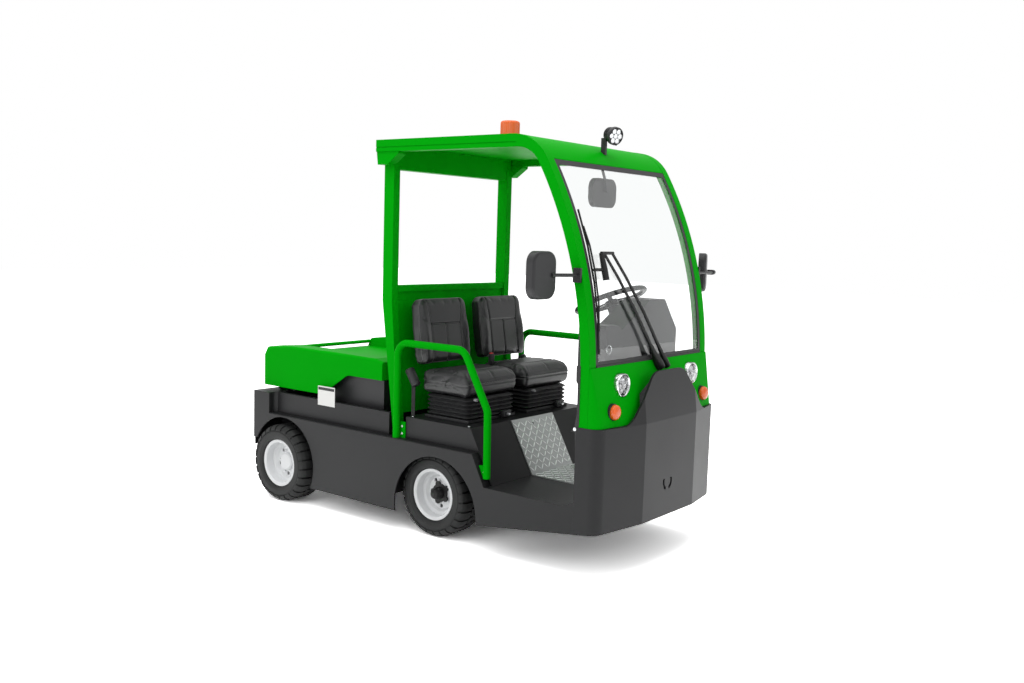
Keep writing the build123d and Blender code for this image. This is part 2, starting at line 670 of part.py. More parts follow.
def arc_strip(r0, r1, z0, z1, half):
    """A sheet between two radii of the front arc, square to it at its ends."""
    def at(r, z):
        angle = math.asin((z - arc_c[1]) / screen_r)
        return (0, arc_c[0] - r * math.cos(angle), arc_c[1] + r * math.sin(angle))

    zm = (z0 + z1) / 2
    face = make_face([ThreePointArc(at(r0, z0), at(r0, zm), at(r0, z1)), Line(at(r0, z1), at(r1, z1)),
                      ThreePointArc(at(r1, z1), at(r1, zm), at(r1, z0)), Line(at(r1, z0), at(r0, z0))])
    return across(face, -half, half)


glass_r = screen_r - 5
glass_low = screen_low_z + 1
glass_high = screen_top_z - 2
save("windscreen", arc_strip(glass_r, glass_r - glass_t, glass_low, glass_high, roof_in))
seal = arc_strip(glass_r + 3, glass_r, glass_low, glass_high, roof_in)
seal -= arc_strip(glass_r + 4, glass_r - 1, glass_low + seal_w, glass_high - seal_w, roof_in - seal_w)
save("windscreen_seal", seal)
# moulded front panel: full width ahead of the pillars, deep at the foot and flat at the windscreen
panel_rear_y = screen_y - slip
panel_low_z = bumper_z + slip
panel_high_z = screen_low_z


def panel_section(z, depth, corner_r, inset):
    """Outline in plan at height z, moved inwards by inset."""
    half = cab_half - inset
    rear = panel_rear_y + 4 * inset
    mid = panel_rear_y - depth + inset
    corner = mid + 0.4 * (depth - fairing_top_d) + 0.3 * fairing_top_d
    outline = [(half, rear), (half, corner), (bumper_bend_x, mid), (-bumper_bend_x, mid), (-half, corner),
               (-half, rear)]
    face = make_face(Polyline(*outline, close=True))
    front = face.vertices().filter_by(lambda v: abs(v.X) > half - 1 and v.Y < rear - 1)
    return Pos(0, 0, z) * fillet(front, corner_r)


def panel_body(z0, z1, inset):
    low = panel_section(z0, fairing_low_d, fairing_corner_r - inset, inset)
    high = panel_section(z1, fairing_top_d, 4.0, inset)
    return loft([low, high], ruled=True)


front_panel = panel_body(panel_low_z, panel_high_z, 0) - panel_body(panel_low_z - 1, panel_high_z + 1, fairing_t)
lamp_x = 345.0
lamp_z = 929.0
lamp_r = 57.5
lamp_face_y = panel_rear_y - 50
lamp_ring_d = 34.0
lamp_body_r = 48.0
lamp_rear_y = screen_y + 10
signal_x = 445.0
signal_z = 812.0
signal_r = 40.0
signal_face_y = panel_rear_y - 62
signal_base_d = 38.0
signal_dome = 26.0
for s in (-1, 1):
    front_panel -= Pos(s * lamp_x, screen_y - 60, lamp_z) * Rot(90, 0, 0) * Cylinder(lamp_r + slip, 200)
    front_panel -= Pos(s * signal_x, screen_y - 60, signal_z) * Rot(90, 0, 0) * Cylinder(signal_r + slip, 200)
save("front_panel", front_panel)

# rear posts with gussets, header and the bar under the window
post_back = post_y + post_d
post_foot_y = post_y - post_lean
post = side_face([(post_y, rail_low), (post_back, rail_low), (post_back, post_knee_z),
                  (post_foot_y + post_foot_d, ledge_z), (post_foot_y, ledge_z), (post_y, post_knee_z)])
header_z = roof_z - skin - roof_t - slip
gusset_z = rail_low - 68
gusset = side_face([(post_y, gusset_z), (post_y - 80, rail_low - 12), (post_y - 80, rail_low),
                    (roof_rear_y, rail_low), (post_back, gusset_z)])
rear_frame = both(across(post, post_half - post_w, post_half))
rear_frame += both(across(gusset, post_half - 6, cab_half - 6))
rear_frame += box(-post_half, post_half, post_y + 6, post_back - 6, window_top_z, header_z)
rear_frame += box(-post_half, post_half, post_y + 6, post_back - 6, window_low_z - window_bar, window_low_z)
save("rear_frame", rear_frame)


def post_line(z):
    """Front face of the rear posts below their knee."""
    return post_y - post_lean * (post_knee_z - z) / (post_knee_z - ledge_z)


sheet_in = 20.0              # bulkhead behind the front face of the posts
sheet_t = 4.0
bulk = side_face([(post_y + sheet_in, window_low_z - window_bar),
                  (post_y + sheet_in + sheet_t, window_low_z - window_bar),
                  (post_y + sheet_in + sheet_t, post_knee_z),
                  (post_line(seat_deck_z) + sheet_in + sheet_t, seat_deck_z),
                  (post_line(seat_deck_z) + sheet_in, seat_deck_z), (post_y + sheet_in, post_knee_z)])
bulk_half = post_half - post_w - slip
save("rear_bulkhead", across(bulk, -bulk_half, bulk_half))

# dashboard: full-width console, the instrument pod in front of the driver and the column's shroud
wall_y = door_front_y + 1
dash_front = screen_y + 12
dash_half = roof_in - 4
console = side_face([(dash_front, bumper_z + 1), (dash_front, screen_low_z - 32), (-958, screen_low_z - 32),
                     (console_foot_y + 25, bumper_z), (console_foot_y, sill_z), (wall_y, sill_z), (wall_y, bumper_z + 1)])
dash = across(console, -dash_half, dash_half)
pod_rear_y = -800.0
pod_front_y = -958.0
pod_right = [(-360, 950), (-360, 1205), (-250, 1205), (-215, 1180)]         # x, z of the pod's outline
pod_left = [(50, 1320), (200, 1320), (335, 1160), (335, 950)]
pod = make_face(Polyline(*[(x, pod_rear_y, z) for x, z in pod_right + pod_left], close=True))
pod = fillet(pod.vertices().filter_by(lambda v: v.Z > 1000), 16)
pod_solid = extrude(pod, amount=pod_rear_y - pod_front_y, dir=(0, -1, 0))
pod_solid = fillet(pod_solid.faces().sort_by(Axis.Y)[-1].edges(), 8)
dash += pod_solid
shroud_half = 90.0
shroud_top_z = 1000.0
shroud_front_y = -960.0
shroud_rear_y = -720.0
shroud_front_low_z = 800.0     # its underside rises towards the driver, over the foot well
shroud_rear_low_z = 917.0
shroud = side_face([(shroud_front_y, shroud_front_low_z), (shroud_rear_y, shroud_rear_low_z),
                     (shroud_rear_y, shroud_top_z), (shroud_front_y, shroud_top_z)])
dash += across(shroud, wheel_x - shroud_half, wheel_x + shroud_half)
save("dashboard", dash)

# steering column and wheel
turn = Pos(wheel_x, wheel_y, wheel_z) * Rot(-wheel_tilt, 0, 0)
hub_low = 36.0
column_l = 330.0
column = turn * Pos(0, 0, -hub_low - column_l / 2) * Cylinder(26, column_l)
column += turn * Pos(0, 0, -hub_low - 34) * Cylinder(34, 60)
save("steering_column", column - dash)
grip_path_r = steering_r - steering_grip_r
hand = Torus(grip_path_r, steering_grip_r)
hand += Pos(0, 0, -18) * Cylinder(34, 32)
for a in (90, 210, 330):
    hand += Rot(0, 0, a) * Pos(grip_path_r / 2 + 6, 0, -8) * Box(grip_path_r - 12, 26, 8)
hand += Rot(0, 0, 160) * Pos(grip_path_r, 0, 26) * Cylinder(16, 40)
save("steering_wheel", turn * hand)
pedal_y = wall_y + 88
pedal = Pos(0, pedal_y, sill_z + 53) * Rot(35, 0, 0) * Box(70, 10, 110)
pedal += box(-10, 10, wall_y + 20, pedal_y + 4, sill_z + 33, sill_z + 48)
save("pedals", (Pos(wheel_x + 60, 0, 0) * pedal) + (Pos(wheel_x - 70, 0, 0) * pedal) - dash)

# ---- seats --------------------------------------------------------------------------------
seat_rear_y = seat_front_y + seat_len
fold_count = 4
fold_h = bellows_h / fold_count
suspensions = cushions = backs = None
for s in SIDES.values():
    cx = s * seat_x
    bellows = box(cx - 185, cx + 185, seat_front_y + 30, seat_rear_y - 40, seat_deck_z, bellows_top_z)
    for i in range(fold_count):
        z = seat_deck_z + i * fold_h
        fold = box(cx - 200, cx + 200, seat_front_y + 15, seat_rear_y - 25, z + 4, z + fold_h - 4)
        bellows += fillet(fold.edges().filter_by(Axis.Z), 40)
    cushion = box(cx - seat_w / 2, cx + seat_w / 2, seat_front_y, seat_rear_y, bellows_top_z, cushion_top_z)
    cushion = fillet(cushion.edges().filter_by(Axis.Z), 60)
    cushion = fillet(cushion.edges().group_by(Axis.Z)[-1], 30)
    w = back_w / 2
    low, high = -30.0, back_h
    shell_face = make_face(Polyline((-w + 30, 0, low), (w - 30, 0, low), (w, 0, high - 270), (w, 0, high - 175),
                                    (0.6 * w, 0, high - 105), (0.55 * w, 0, high), (-0.55 * w, 0, high),
                                    (-0.6 * w, 0, high - 105), (-w, 0, high - 175), (-w, 0, high - 270),
                                    close=True))
    shell_face = fillet(shell_face.vertices().filter_by(lambda v: v.Z > 0), 32)
    back = extrude(Pos(0, back_t / 2, 0) * shell_face, amount=back_t, dir=(0, -1, 0))
    place = Pos(cx, seat_rear_y - 5, cushion_top_z) * Rot(-back_lean, 0, 0) * Pos(0, back_t / 4, 0)
    back = place * back - cushion
    suspensions = bellows if suspensions is None else suspensions + bellows
    cushions = cushion if cushions is None else cushions + cushion
    backs = back if backs is None else backs + back
save("seat_suspensions", suspensions)
save("seat_cushions", cushions)
save("seat_backs", backs)

# ---- grab rails ---------------------------------------------------------------------------
rail_r = 19.0
rail_x = ledge_half + 25.5
rail_top_z = 1035.0
rails = None
for s in (-1, 1):
    x = s * rail_x
    path = FilletPolyline((x, 240, ledge_z), (x, 240, rail_top_z), (x, -232, rail_top_z),
                          (x, -398, 740), (x, -404, sill_z + 42), radius=75)
    tube = sweep(Plane(origin=path @ 0, z_dir=path % 0) * Circle(rail_r), path=path)
    foot = side_face([(-404, sill_z + 48), (-404, sill_z + 103), (-355, sill_z + 103), (-383, sill_z + 48)])
    tube += across(foot, s * (rail_x - 14), s * (rail_x + 6))
    tube += box(s * (ledge_half + slip), s * (ledge_half + 6), 192, 240, ledge_z, 600)
    rails = tube if rails is None else rails + tube
save("grab_rails", rails)

# ---- mirrors, wiper, lamps ----------------------------------------------------------------
mirror_z = 1451.0
mirror_out = 203.0           # mirror head outboard of the side frame
mirror_y = -872.0
bracket_y = arc_y(screen_r, mirror_z) + 22
mirror_arms = ((-1, 0.0, 145, -18), (1, 25.0, 275, -28))    # side, head's turn, arm's reach, arm's end y
mirrors = None
for s, turned, reach, ahead in mirror_arms:
    head = fillet(Box(178, 44, 218).edges().filter_by(Axis.Y), 55)
    head = fillet(head.edges().group_by(Axis.Y)[0], 14)
    one = Pos(s * (cab_half + mirror_out), mirror_y, mirror_z) * Rot(0, 0, turned) * head
    tip = (s * (cab_half + reach), mirror_y + ahead, mirror_z + 1)
    one += round_bar((s * (cab_half + 10), bracket_y, mirror_z + 1), tip, 8)
    one += Pos(*tip) * Rot(0, 90, 0) * Cylinder(13, 22)
    one += Pos(*tip) * box(-12, 12, 0, 30, -14, 14)
    one += box(s * cab_half, s * (cab_half + 14), bracket_y - 21, bracket_y + 21, mirror_z - 33, mirror_z + 35)
    mirrors = one if mirrors is None else mirrors + one
save("door_mirrors", mirrors)
inner_y = brow_y + 59
inner_mirror = Pos(0, inner_y, 1858) * fillet(Box(226, 26, 148).edges().filter_by(Axis.Y), 50)
stem_y = inner_y - 24
stem_top = brow_z(brow - skin - roof_t, stem_y) + 4
inner_mirror += round_bar((8, stem_y, 1880), (-62, stem_y, stem_top), 7)
inner_mirror += Pos(6, inner_y - 18, 1876) * Rot(90, 0, 0) * Cylinder(15, 24)
save("inside_mirror", inner_mirror - roof)


def on_glass(x, z, off):
    """A point in front of the glass."""
    return (x, arc_y(glass_r + off, z), z)


wiper_arms = (((50, 965, 41), (-166, 1260, 27), (-384, 1555, 25)),        # x, z, off the glass
              ((128, 965, 41), (-88, 1260, 27), (-304, 1555, 25)))
blade_stations = ((-502, 1077, 14), (-492, 1330, 14), (-488, 1450, 14), (-480, 1765, 14))


def flat_bar(points, width, depth):
    """A flat bar bent through points on the glass, its width along X."""
    path = FilletPolyline(*points, radius=40)
    start = Plane(origin=path @ 0, x_dir=(1, 0, 0), z_dir=path % 0)
    return sweep(start * Rectangle(width, depth), path=path)


base_front = screen_y - 46
wiper = box(wiper_arms[0][0][0] - 24, wiper_arms[1][0][0] + 24, base_front, base_front + 15, 950, 976)
for stations in wiper_arms:
    wiper += flat_bar([on_glass(*station) for station in stations], 16, 8)
link_y = on_glass(0, 1555, 25)[1]
wiper += box(-412, -290, link_y - 7, link_y + 7, 1543, 1567)
wiper += flat_bar([on_glass(-405, z, 25) for z in (1435, 1500, 1556)], 38, 14)
clamp_y = on_glass(0, 1478, 25)[1]
wiper += box(-497, -405, clamp_y - 7, clamp_y + 8, 1470, 1486)
wiper += flat_bar([on_glass(*station) for station in blade_stations], 12, 10)
save("wiper", wiper)

beacon_y = -52.0
beacon_base = roof_z - skin
beacon = upright(0, beacon_y, 58, beacon_base, beacon_base + 24)
beacon += fillet(upright(0, beacon_y, 54, beacon_base + 24, beacon_base + 144).edges().group_by(Axis.Z)[-1], 18)
save("beacon", beacon)
lamp_foot_y = brow_c[0] - 149
lamp_foot_z = brow_z(brow, lamp_foot_y)
lamp_aside = math.radians(20)
lamp_down = math.radians(15)
lamp_aim = (-math.sin(lamp_aside) * math.cos(lamp_down), -math.cos(lamp_aside) * math.cos(lamp_down),
            -math.sin(lamp_down))
work_face = Plane(origin=(0, lamp_foot_y - 69, lamp_foot_z + 85), z_dir=lamp_aim)
lamp = Pos(0, 0, -8) * Cylinder(46, 16) + Pos(0, 0, -36) * Cylinder(34, 44)
for i in range(5):
    lamp += Pos(0, 0, -24 - 8 * i) * Cylinder(42 - 1.5 * i, 3)
lamp = work_face * lamp
lamp += box(-9, 9, lamp_foot_y - 14, lamp_foot_y + 12, lamp_foot_z - 8, lamp_foot_z + 78)
save("work_lamp", lamp - roof)

heads = signals = None
for s in (-1, 1):
    head = Pos(s * lamp_x, lamp_face_y + lamp_ring_d / 2, lamp_z) * Rot(90, 0, 0) * Cylinder(lamp_r, lamp_ring_d)
    body_l = lamp_rear_y - lamp_face_y
    head += Pos(s * lamp_x, lamp_face_y + body_l / 2, lamp_z) * Rot(90, 0, 0) * Cylinder(lamp_body_r, body_l)
    lens = fillet(Cylinder(lamp_body_r, 16).edges().group_by(Axis.Z)[-1], 7)
    head += Pos(s * lamp_x, lamp_face_y, lamp_z) * Rot(90, 0, 0) * lens
    heads = head if heads is None else heads + head
    signal = Pos(s * signal_x, signal_face_y + signal_base_d / 2, signal_z) * Rot(90, 0, 0) * Cylinder(signal_r, signal_base_d)
    dome = fillet(Cylinder(signal_r - 3, 2 * signal_dome).edges().group_by(Axis.Z)[-1], 14)
    signal += Pos(s * signal_x, signal_face_y, signal_z) * Rot(90, 0, 0) * dome
    signals = signal if signals is None else signals + signal
save("headlamps", heads)
save("indicators", signals)

# ---- battery hood with its load tray ------------------------------------------------------
t = hood_sheet
hood_side = make_face(Polyline(*[(0, y, z) for y, z in [
    (hood_rear_y, hood_low_z), (hood_cut_y + 105, hood_low_z), (hood_cut_y - 105, hood_cut_z),
    (hood_front_y, hood_cut_z), (hood_front_y, hood_top_z - 20), (hood_front_y + 60, hood_top_z - 4),
    (hood_cut_y + 35, hood_top_z), (hood_rear_y - 235, hood_top_z), (hood_rear_y - 30, hood_top_z - 20),
    (hood_rear_y, hood_top_z - 70)]], close=True))
bends = hood_side.vertices().filter_by(lambda v: abs(v.Y - hood_cut_y) < 110 and v.Z < hood_cut_z + 1)
hood_side = fillet(bends, 90)
hood_side = fillet(hood_side.vertices().filter_by(
    lambda v: v.Y > hood_rear_y - 40 and v.Z > hood_low_z + 1), 24)
hood = across(hood_side, -hood_half, hood_half)
ridges = hood.edges().filter_by(lambda e: abs(abs(e.center().X) - hood_half) < 1 and e.center().Z > hood_top_z - 12
                                and hood_front_y + 20 < e.center().Y < hood_rear_y - 60)
hood = fillet(ridges, 16)
tray = side_face([(hood_rear_y + 5, hood_floor_z), (hood_cut_y - 195, hood_floor_z),
                  (hood_cut_y - 295, hood_top_z + 10), (hood_rear_y + 5, hood_top_z + 10)])
hood -= across(tray, -wing_in, wing_in)
hood -= box(-hood_half + t, hood_half - t, hood_front_y + t, hood_rear_y - t, hood_low_z - 1, hood_floor_z - t)
hollow_top = side_face([(hood_front_y + t, hood_floor_z - t - 1), (hood_front_y + t, hood_top_z - 20 - t),
                        (hood_front_y + 60, hood_top_z - 4 - t), (hood_cut_y + 35, hood_top_z - t),
                        (hood_rear_y - 235, hood_top_z - t), (hood_rear_y - 60, hood_top_z - 24 - t),
                        (hood_rear_y - 60, hood_floor_z - t - 1)])
hood -= both(across(hollow_top, wing_in + t, hood_half - 16))
hood += lying(hood_rear_y - 14, hood_floor_z + 32, 12, -wing_in, wing_in)
hinge_y = rear_y + 3
hinge_z = deck_z + 18
hinge_r = 8.0
hinge_x = 330.0
barrel_len = 30.0
hood_hinges = None
for s in (-1, 1):
    x0 = s * hinge_x
    leaf = lying(hinge_y, hinge_z, hinge_r, x0 - barrel_len / 2, x0 + barrel_len / 2)
    leaf += box(x0 - barrel_len / 2, x0 + barrel_len / 2, hinge_y - 5, hinge_y + 1, hinge_z, hood_low_z + 30)
    leaf -= lying(hinge_y, hinge_z, 4 + running, x0 - 60, x0 + 60)
    hood += leaf - box(x0 - 60, x0 + 60, hood_rear_y - t, hood_rear_y + 20, hood_low_z, hood_low_z + 60)
save("battery_hood", hood)
butts = None
for s in (-1, 1):
    x0 = s * hinge_x
    pin = lying(hinge_y, hinge_z, 4, x0 - 46, x0 + 46)
    for side in (-1, 1):
        middle = x0 + side * (barrel_len / 2 + 15.5)
        pin += lying(hinge_y, hinge_z, hinge_r, middle - 15, middle + 15)
        pin += box(middle - 15, middle + 15, hinge_y - 11, hinge_y - 1, deck_z, hinge_z)
    butts = pin if butts is None else butts + pin
save("hood_hinges", butts)
tails = None
for s in (-1, 1):
    for z in (hood_low_z + 81, hood_low_z + 171):
        tail = Pos(s * (hood_half - 54), hood_rear_y + 8, z) * Rot(90, 0, 0) * Cylinder(32, 16)
        tails = tail if tails is None else tails + tail
save("tail_lamps", tails)

# ---- tow coupling -------------------------------------------------------------------------
jaw_top_z = jaw_low_z + 2 * jaw_plate + jaw_gap
jaw = box(-75, 75, rear_y, rear_y + 14, jaw_low_z - 22, jaw_top_z + 46)
for z in (jaw_low_z, jaw_low_z + jaw_plate + jaw_gap):
    jaw += box(-55, 55, rear_y + 10, jaw_y, z, z + jaw_plate)
    jaw += upright(0, jaw_y, 55, z, z + jaw_plate)
jaw -= upright(0, jaw_y, pin_r + 0.5, jaw_low_z - 50, jaw_top_z + 50)
save("tow_coupling", jaw)
pin_top = jaw_top_z + 22
pin = upright(0, jaw_y, pin_r, jaw_low_z - 12, pin_top)
pin += upright(0, jaw_y, 24, jaw_top_z + 0.5, jaw_top_z + 11.5)
pin += Pos(0, jaw_y, pin_top + 26) * Rot(90, 0, 0) * Torus(26, 6)
save("coupling_pin", pin)
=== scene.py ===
import math

import bpy
from mathutils import Matrix, Vector
from mathutils.bvhtree import BVHTree


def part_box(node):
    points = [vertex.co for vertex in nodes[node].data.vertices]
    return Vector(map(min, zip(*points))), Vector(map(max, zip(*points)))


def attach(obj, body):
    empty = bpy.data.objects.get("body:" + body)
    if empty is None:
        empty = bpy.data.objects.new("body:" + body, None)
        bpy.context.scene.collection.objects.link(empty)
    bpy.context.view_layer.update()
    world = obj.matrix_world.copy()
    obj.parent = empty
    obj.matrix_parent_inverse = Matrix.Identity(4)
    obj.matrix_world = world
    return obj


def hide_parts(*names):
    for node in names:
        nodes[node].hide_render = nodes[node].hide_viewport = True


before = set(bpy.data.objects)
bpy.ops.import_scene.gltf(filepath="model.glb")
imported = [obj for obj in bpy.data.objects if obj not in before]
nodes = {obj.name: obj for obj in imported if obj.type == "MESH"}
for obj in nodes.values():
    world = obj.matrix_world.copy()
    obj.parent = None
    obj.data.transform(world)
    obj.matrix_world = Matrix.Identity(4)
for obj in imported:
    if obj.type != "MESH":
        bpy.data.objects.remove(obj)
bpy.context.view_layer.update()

scene = bpy.context.scene

# ---- studio -------------------------------------------------------------------------------
# A white floor that runs into a white backdrop, one large soft light overhead and two weaker
# ones at the sides. The floor keeps the tug's own shadow. The camera stands at eye height off
# the tug's right front corner.
camera_place = Vector((-4.4565, -3.5681, 1.6197))
camera_look = Vector((0.78596, 0.60960, -0.10322))
camera_roll = 0.0312
camera_data = bpy.data.cameras.new("camera")
camera_data.lens = 35.466
camera_data.sensor_width = 36.0
camera = bpy.data.objects.new("camera", camera_data)
scene.collection.objects.link(camera)
turn = camera_look.to_track_quat("-Z", "Y").to_matrix() @ Matrix.Rotation(camera_roll, 3, "Z")
camera.matrix_world = Matrix.Translation(camera_place) @ turn.to_4x4()
scene.camera = camera
scene.view_settings.view_transform = "Standard"


def seen_directly(tree):
    """1 for camera, glossy and transmission rays, which should meet plain white, else 0."""
    path = tree.nodes.new("ShaderNodeLightPath")
    total = path.outputs["Is Camera Ray"]
    for ray in ("Is Glossy Ray", "Is Transmission Ray"):
        add = tree.nodes.new("ShaderNodeMath")
        add.operation = "MAXIMUM"
        tree.links.new(total, add.inputs[0])
        tree.links.new(path.outputs[ray], add.inputs[1])
        total = add.outputs[0]
    return total


ambient = 0.62
world = bpy.data.worlds.new("backdrop")
world.use_nodes = True
scene.world = world
backdrop = world.node_tree.nodes["Background"]
level = world.node_tree.nodes.new("ShaderNodeMapRange")
level.inputs["To Min"].default_value = ambient
level.inputs["To Max"].default_value = 1.0
world.node_tree.links.new(seen_directly(world.node_tree), level.inputs["Value"])
world.node_tree.links.new(level.outputs[0], backdrop.inputs["Strength"])
backdrop.inputs["Color"].default_value = (1, 1, 1, 1)

floor_half = 30.0
bpy.ops.object.select_all(action="DESELECT")
bpy.ops.mesh.primitive_plane_add(size=2 * floor_half)
floor = bpy.context.object
floor.name = "floor"
paper = bpy.data.materials.new("white_paper")
paper.use_nodes = True
tree = paper.node_tree
tree.nodes.remove(tree.nodes["Principled BSDF"])
matt = tree.nodes.new("ShaderNodeBsdfDiffuse")
shade = tree.nodes.new("ShaderNodeMapRange")
shade.inputs["To Min"].default_value = 0.75
shade.inputs["To Max"].default_value = 2.6
tree.links.new(seen_directly(tree), shade.inputs["Value"])
tree.links.new(shade.outputs[0], matt.inputs["Color"])
tree.links.new(matt.outputs[0], tree.nodes["Material Output"].inputs["Surface"])
floor.data.materials.append(paper)


def soft_light(name, place, size, watts):
    """A square softbox that looks at the middle of the tug."""
    data = bpy.data.lights.new(name, "AREA")
    data.size = size
    data.energy = watts
    lamp = bpy.data.objects.new(name, data)
    scene.collection.objects.link(lamp)
    lamp.location = place
    lamp.rotation_euler = (Vector((0, 0.2, 1.0)) - Vector(place)).to_track_quat("-Z", "Y").to_euler()


soft_light("overhead_light", (-0.6, 0.2, 5.6), 6.0, 190)
soft_light("right_side_light", (-6.5, 1.0, 3.2), 5.0, 100)
soft_light("front_light", (-1.5, -6.8, 3.0), 5.0, 60)

# ---- paints -------------------------------------------------------------------------------
# The cab is gloss green and the chassis satin anthracite, both sprayed on sheet steel, so the
# finish has a little orange peel, slow changes of gloss, and edges that are rounded by the
# paint.


def finish(name, colour, roughness, specular=0.5, metallic=0.0, peel=0.0, peel_scale=300.0,
           patch=0.06, edge=0.0, coat=0.0):
    """A procedural finish on Object coordinates: slow patches of tone and gloss over a fine grain."""
    made = bpy.data.materials.new(name)
    made.use_nodes = True
    tree = made.node_tree
    shader = tree.nodes["Principled BSDF"]
    shader.inputs["Metallic"].default_value = metallic
    shader.inputs["Specular IOR Level"].default_value = specular
    shader.inputs["Coat Weight"].default_value = coat
    place = tree.nodes.new("ShaderNodeTexCoord").outputs["Object"]
    cloud = tree.nodes.new("ShaderNodeTexNoise")
    cloud.inputs["Scale"].default_value = 3.5
    cloud.inputs["Detail"].default_value = 6.0
    tree.links.new(place, cloud.inputs["Vector"])
    tone = tree.nodes.new("ShaderNodeMix")
    tone.data_type = "RGBA"
    tone.inputs["A"].default_value = (*[c * (1 - patch) for c in colour], 1)
    tone.inputs["B"].default_value = (*[min(1, c * (1 + patch)) for c in colour], 1)
    tree.links.new(cloud.outputs["Fac"], tone.inputs["Factor"])
    tree.links.new(tone.outputs["Result"], shader.inputs["Base Color"])
    gloss = tree.nodes.new("ShaderNodeMapRange")
    gloss.inputs["To Min"].default_value = max(0.02, roughness - 0.05)
    gloss.inputs["To Max"].default_value = roughness + 0.05
    tree.links.new(cloud.outputs["Fac"], gloss.inputs["Value"])
    tree.links.new(gloss.outputs[0], shader.inputs["Roughness"])
    normal = None
    if edge:
        bevel = tree.nodes.new("ShaderNodeBevel")
        bevel.samples = 4
        bevel.inputs["Radius"].default_value = edge
        normal = bevel.outputs["Normal"]
    if peel:
        grain = tree.nodes.new("ShaderNodeTexNoise")
        grain.inputs["Scale"].default_value = peel_scale
        tree.links.new(place, grain.inputs["Vector"])
        bump = tree.nodes.new("ShaderNodeBump")
        bump.inputs["Strength"].default_value = peel
        bump.inputs["Distance"].default_value = 0.001
        tree.links.new(grain.outputs["Fac"], bump.inputs["Height"])
        if normal:
            tree.links.new(normal, bump.inputs["Normal"])
        normal = bump.outputs["Normal"]
    if normal:
        tree.links.new(normal, shader.inputs["Normal"])
    return made


def coat_node(material, *names):
    """The CAD nodes take this material on every slot."""
    for name in names:
        nodes[name].data.materials.clear()
        nodes[name].data.materials.append(material)


green_paint = finish("green_paint", (0.0, 0.36, 0.003), 0.45, specular=0.02, peel=0.05, edge=0.002)
grey_paint = finish("anthracite_paint", (0.013, 0.013, 0.014), 0.42, specular=0.18, peel=0.06, edge=0.002)
black_paint = finish("black_paint", (0.008, 0.008, 0.008), 0.5, specular=0.25, peel=0.08, edge=0.0015)
coat_node(green_paint, "cab_frame_right", "cab_frame_left", "roof_panel", "rear_frame", "rear_bulkhead",
          "front_panel", "grab_rails", "battery_hood")
coat_node(grey_paint, "side_panel_right", "side_panel_left", "rear_block", "battery_rim", "seat_box",
          "front_bumper", "nose_cover", "floor_plate", "step_frame", "spine_frame", "axle_hangers",
          "battery_well", "rear_rails", "hood_hinges")
coat_node(black_paint, "front_axle", "rear_axle", "rear_springs", "knuckle_right", "knuckle_left",
          "track_rod", "tow_coupling", "hub_front_right", "hub_front_left")

# ---- wheels -------------------------------------------------------------------------------
# Pneumatic industrial tyres with square shoulder lugs round a smooth sidewall, on white
# painted steel rims. Five domed nuts hold each rim beside its five round vent holes.
rubber = finish("tyre_rubber", (0.010, 0.0105, 0.0105), 0.62, specular=0.28, peel=0.35, peel_scale=180.0,
                patch=0.2)
rim_paint = finish("rim_paint", (0.78, 0.79, 0.80), 0.32, specular=0.4, peel=0.03, edge=0.002, patch=0.02)
tyre_r = 0.229
lug_count = 26
lug_depth = 0.011
lug_share = 0.80            # of a lug's pitch, the rest is groove
nut_circle_r = 0.068
nut_turn = 20.0             # degrees from a vent hole to its nut


def alone():
    """Nothing selected, in object mode."""
    if bpy.context.object and bpy.context.object.mode != "OBJECT":
        bpy.ops.object.mode_set(mode="OBJECT")
    bpy.ops.object.select_all(action="DESELECT")


def drawn(name, points):
    """A line of edges through the points, drawn by extruding from one vertex. Left in edit mode."""
    alone()
    bpy.ops.mesh.primitive_plane_add(size=0.01, location=points[0])
    line = bpy.context.object
    line.name = name
    bpy.ops.object.transform_apply(location=True, rotation=True, scale=True)
    bpy.ops.object.mode_set(mode="EDIT")
    bpy.ops.mesh.select_all(action="SELECT")
    bpy.ops.mesh.merge(type="CENTER")
    for a, b in zip(points, points[1:]):
        bpy.ops.mesh.extrude_vertices_move(TRANSFORM_OT_translate={"value": Vector(b) - Vector(a)})
    return line


def closed_up():
    """Merges doubles and turns every face outwards, in edit mode."""
    bpy.ops.mesh.select_all(action="SELECT")
    bpy.ops.mesh.remove_doubles(threshold=0.00005)
    bpy.ops.mesh.normals_make_consistent(inside=False)


def smoothed(piece, degrees=32.0):
    """Out of edit mode, with smooth shading that keeps edges sharper than the angle."""
    if bpy.context.object.mode != "OBJECT":
        bpy.ops.object.mode_set(mode="OBJECT")
    alone()
    piece.select_set(True)
    bpy.context.view_layer.objects.active = piece
    bpy.ops.object.shade_smooth_by_angle(angle=math.radians(degrees))
    return piece


def turned(name, profile, centre, steps=64, axis=(1, 0, 0), smooth=32.0):
    """A piece turned about an axis, from (along, radius) points that start and end where it closes."""
    along = Vector(axis).normalized()
    out = Vector((0, 0, 1)) if abs(along.z) < 0.7 else Vector((0, 1, 0))
    out = (out - along * out.dot(along)).normalized()
    points = [Vector(centre) + along * a + out * r for a, r in profile]
    piece = drawn(name, points)
    bpy.ops.mesh.select_all(action="SELECT")
    bpy.ops.mesh.spin(steps=steps, angle=2 * math.pi, center=centre, axis=along)
    closed_up()
    return smoothed(piece, smooth)


def joined(name, pieces):
    """Several meshes made one."""
    alone()
    for piece in pieces:
        piece.select_set(True)
    bpy.context.view_layer.objects.active = pieces[0]
    bpy.ops.object.join()
    pieces[0].name = name
    return pieces[0]


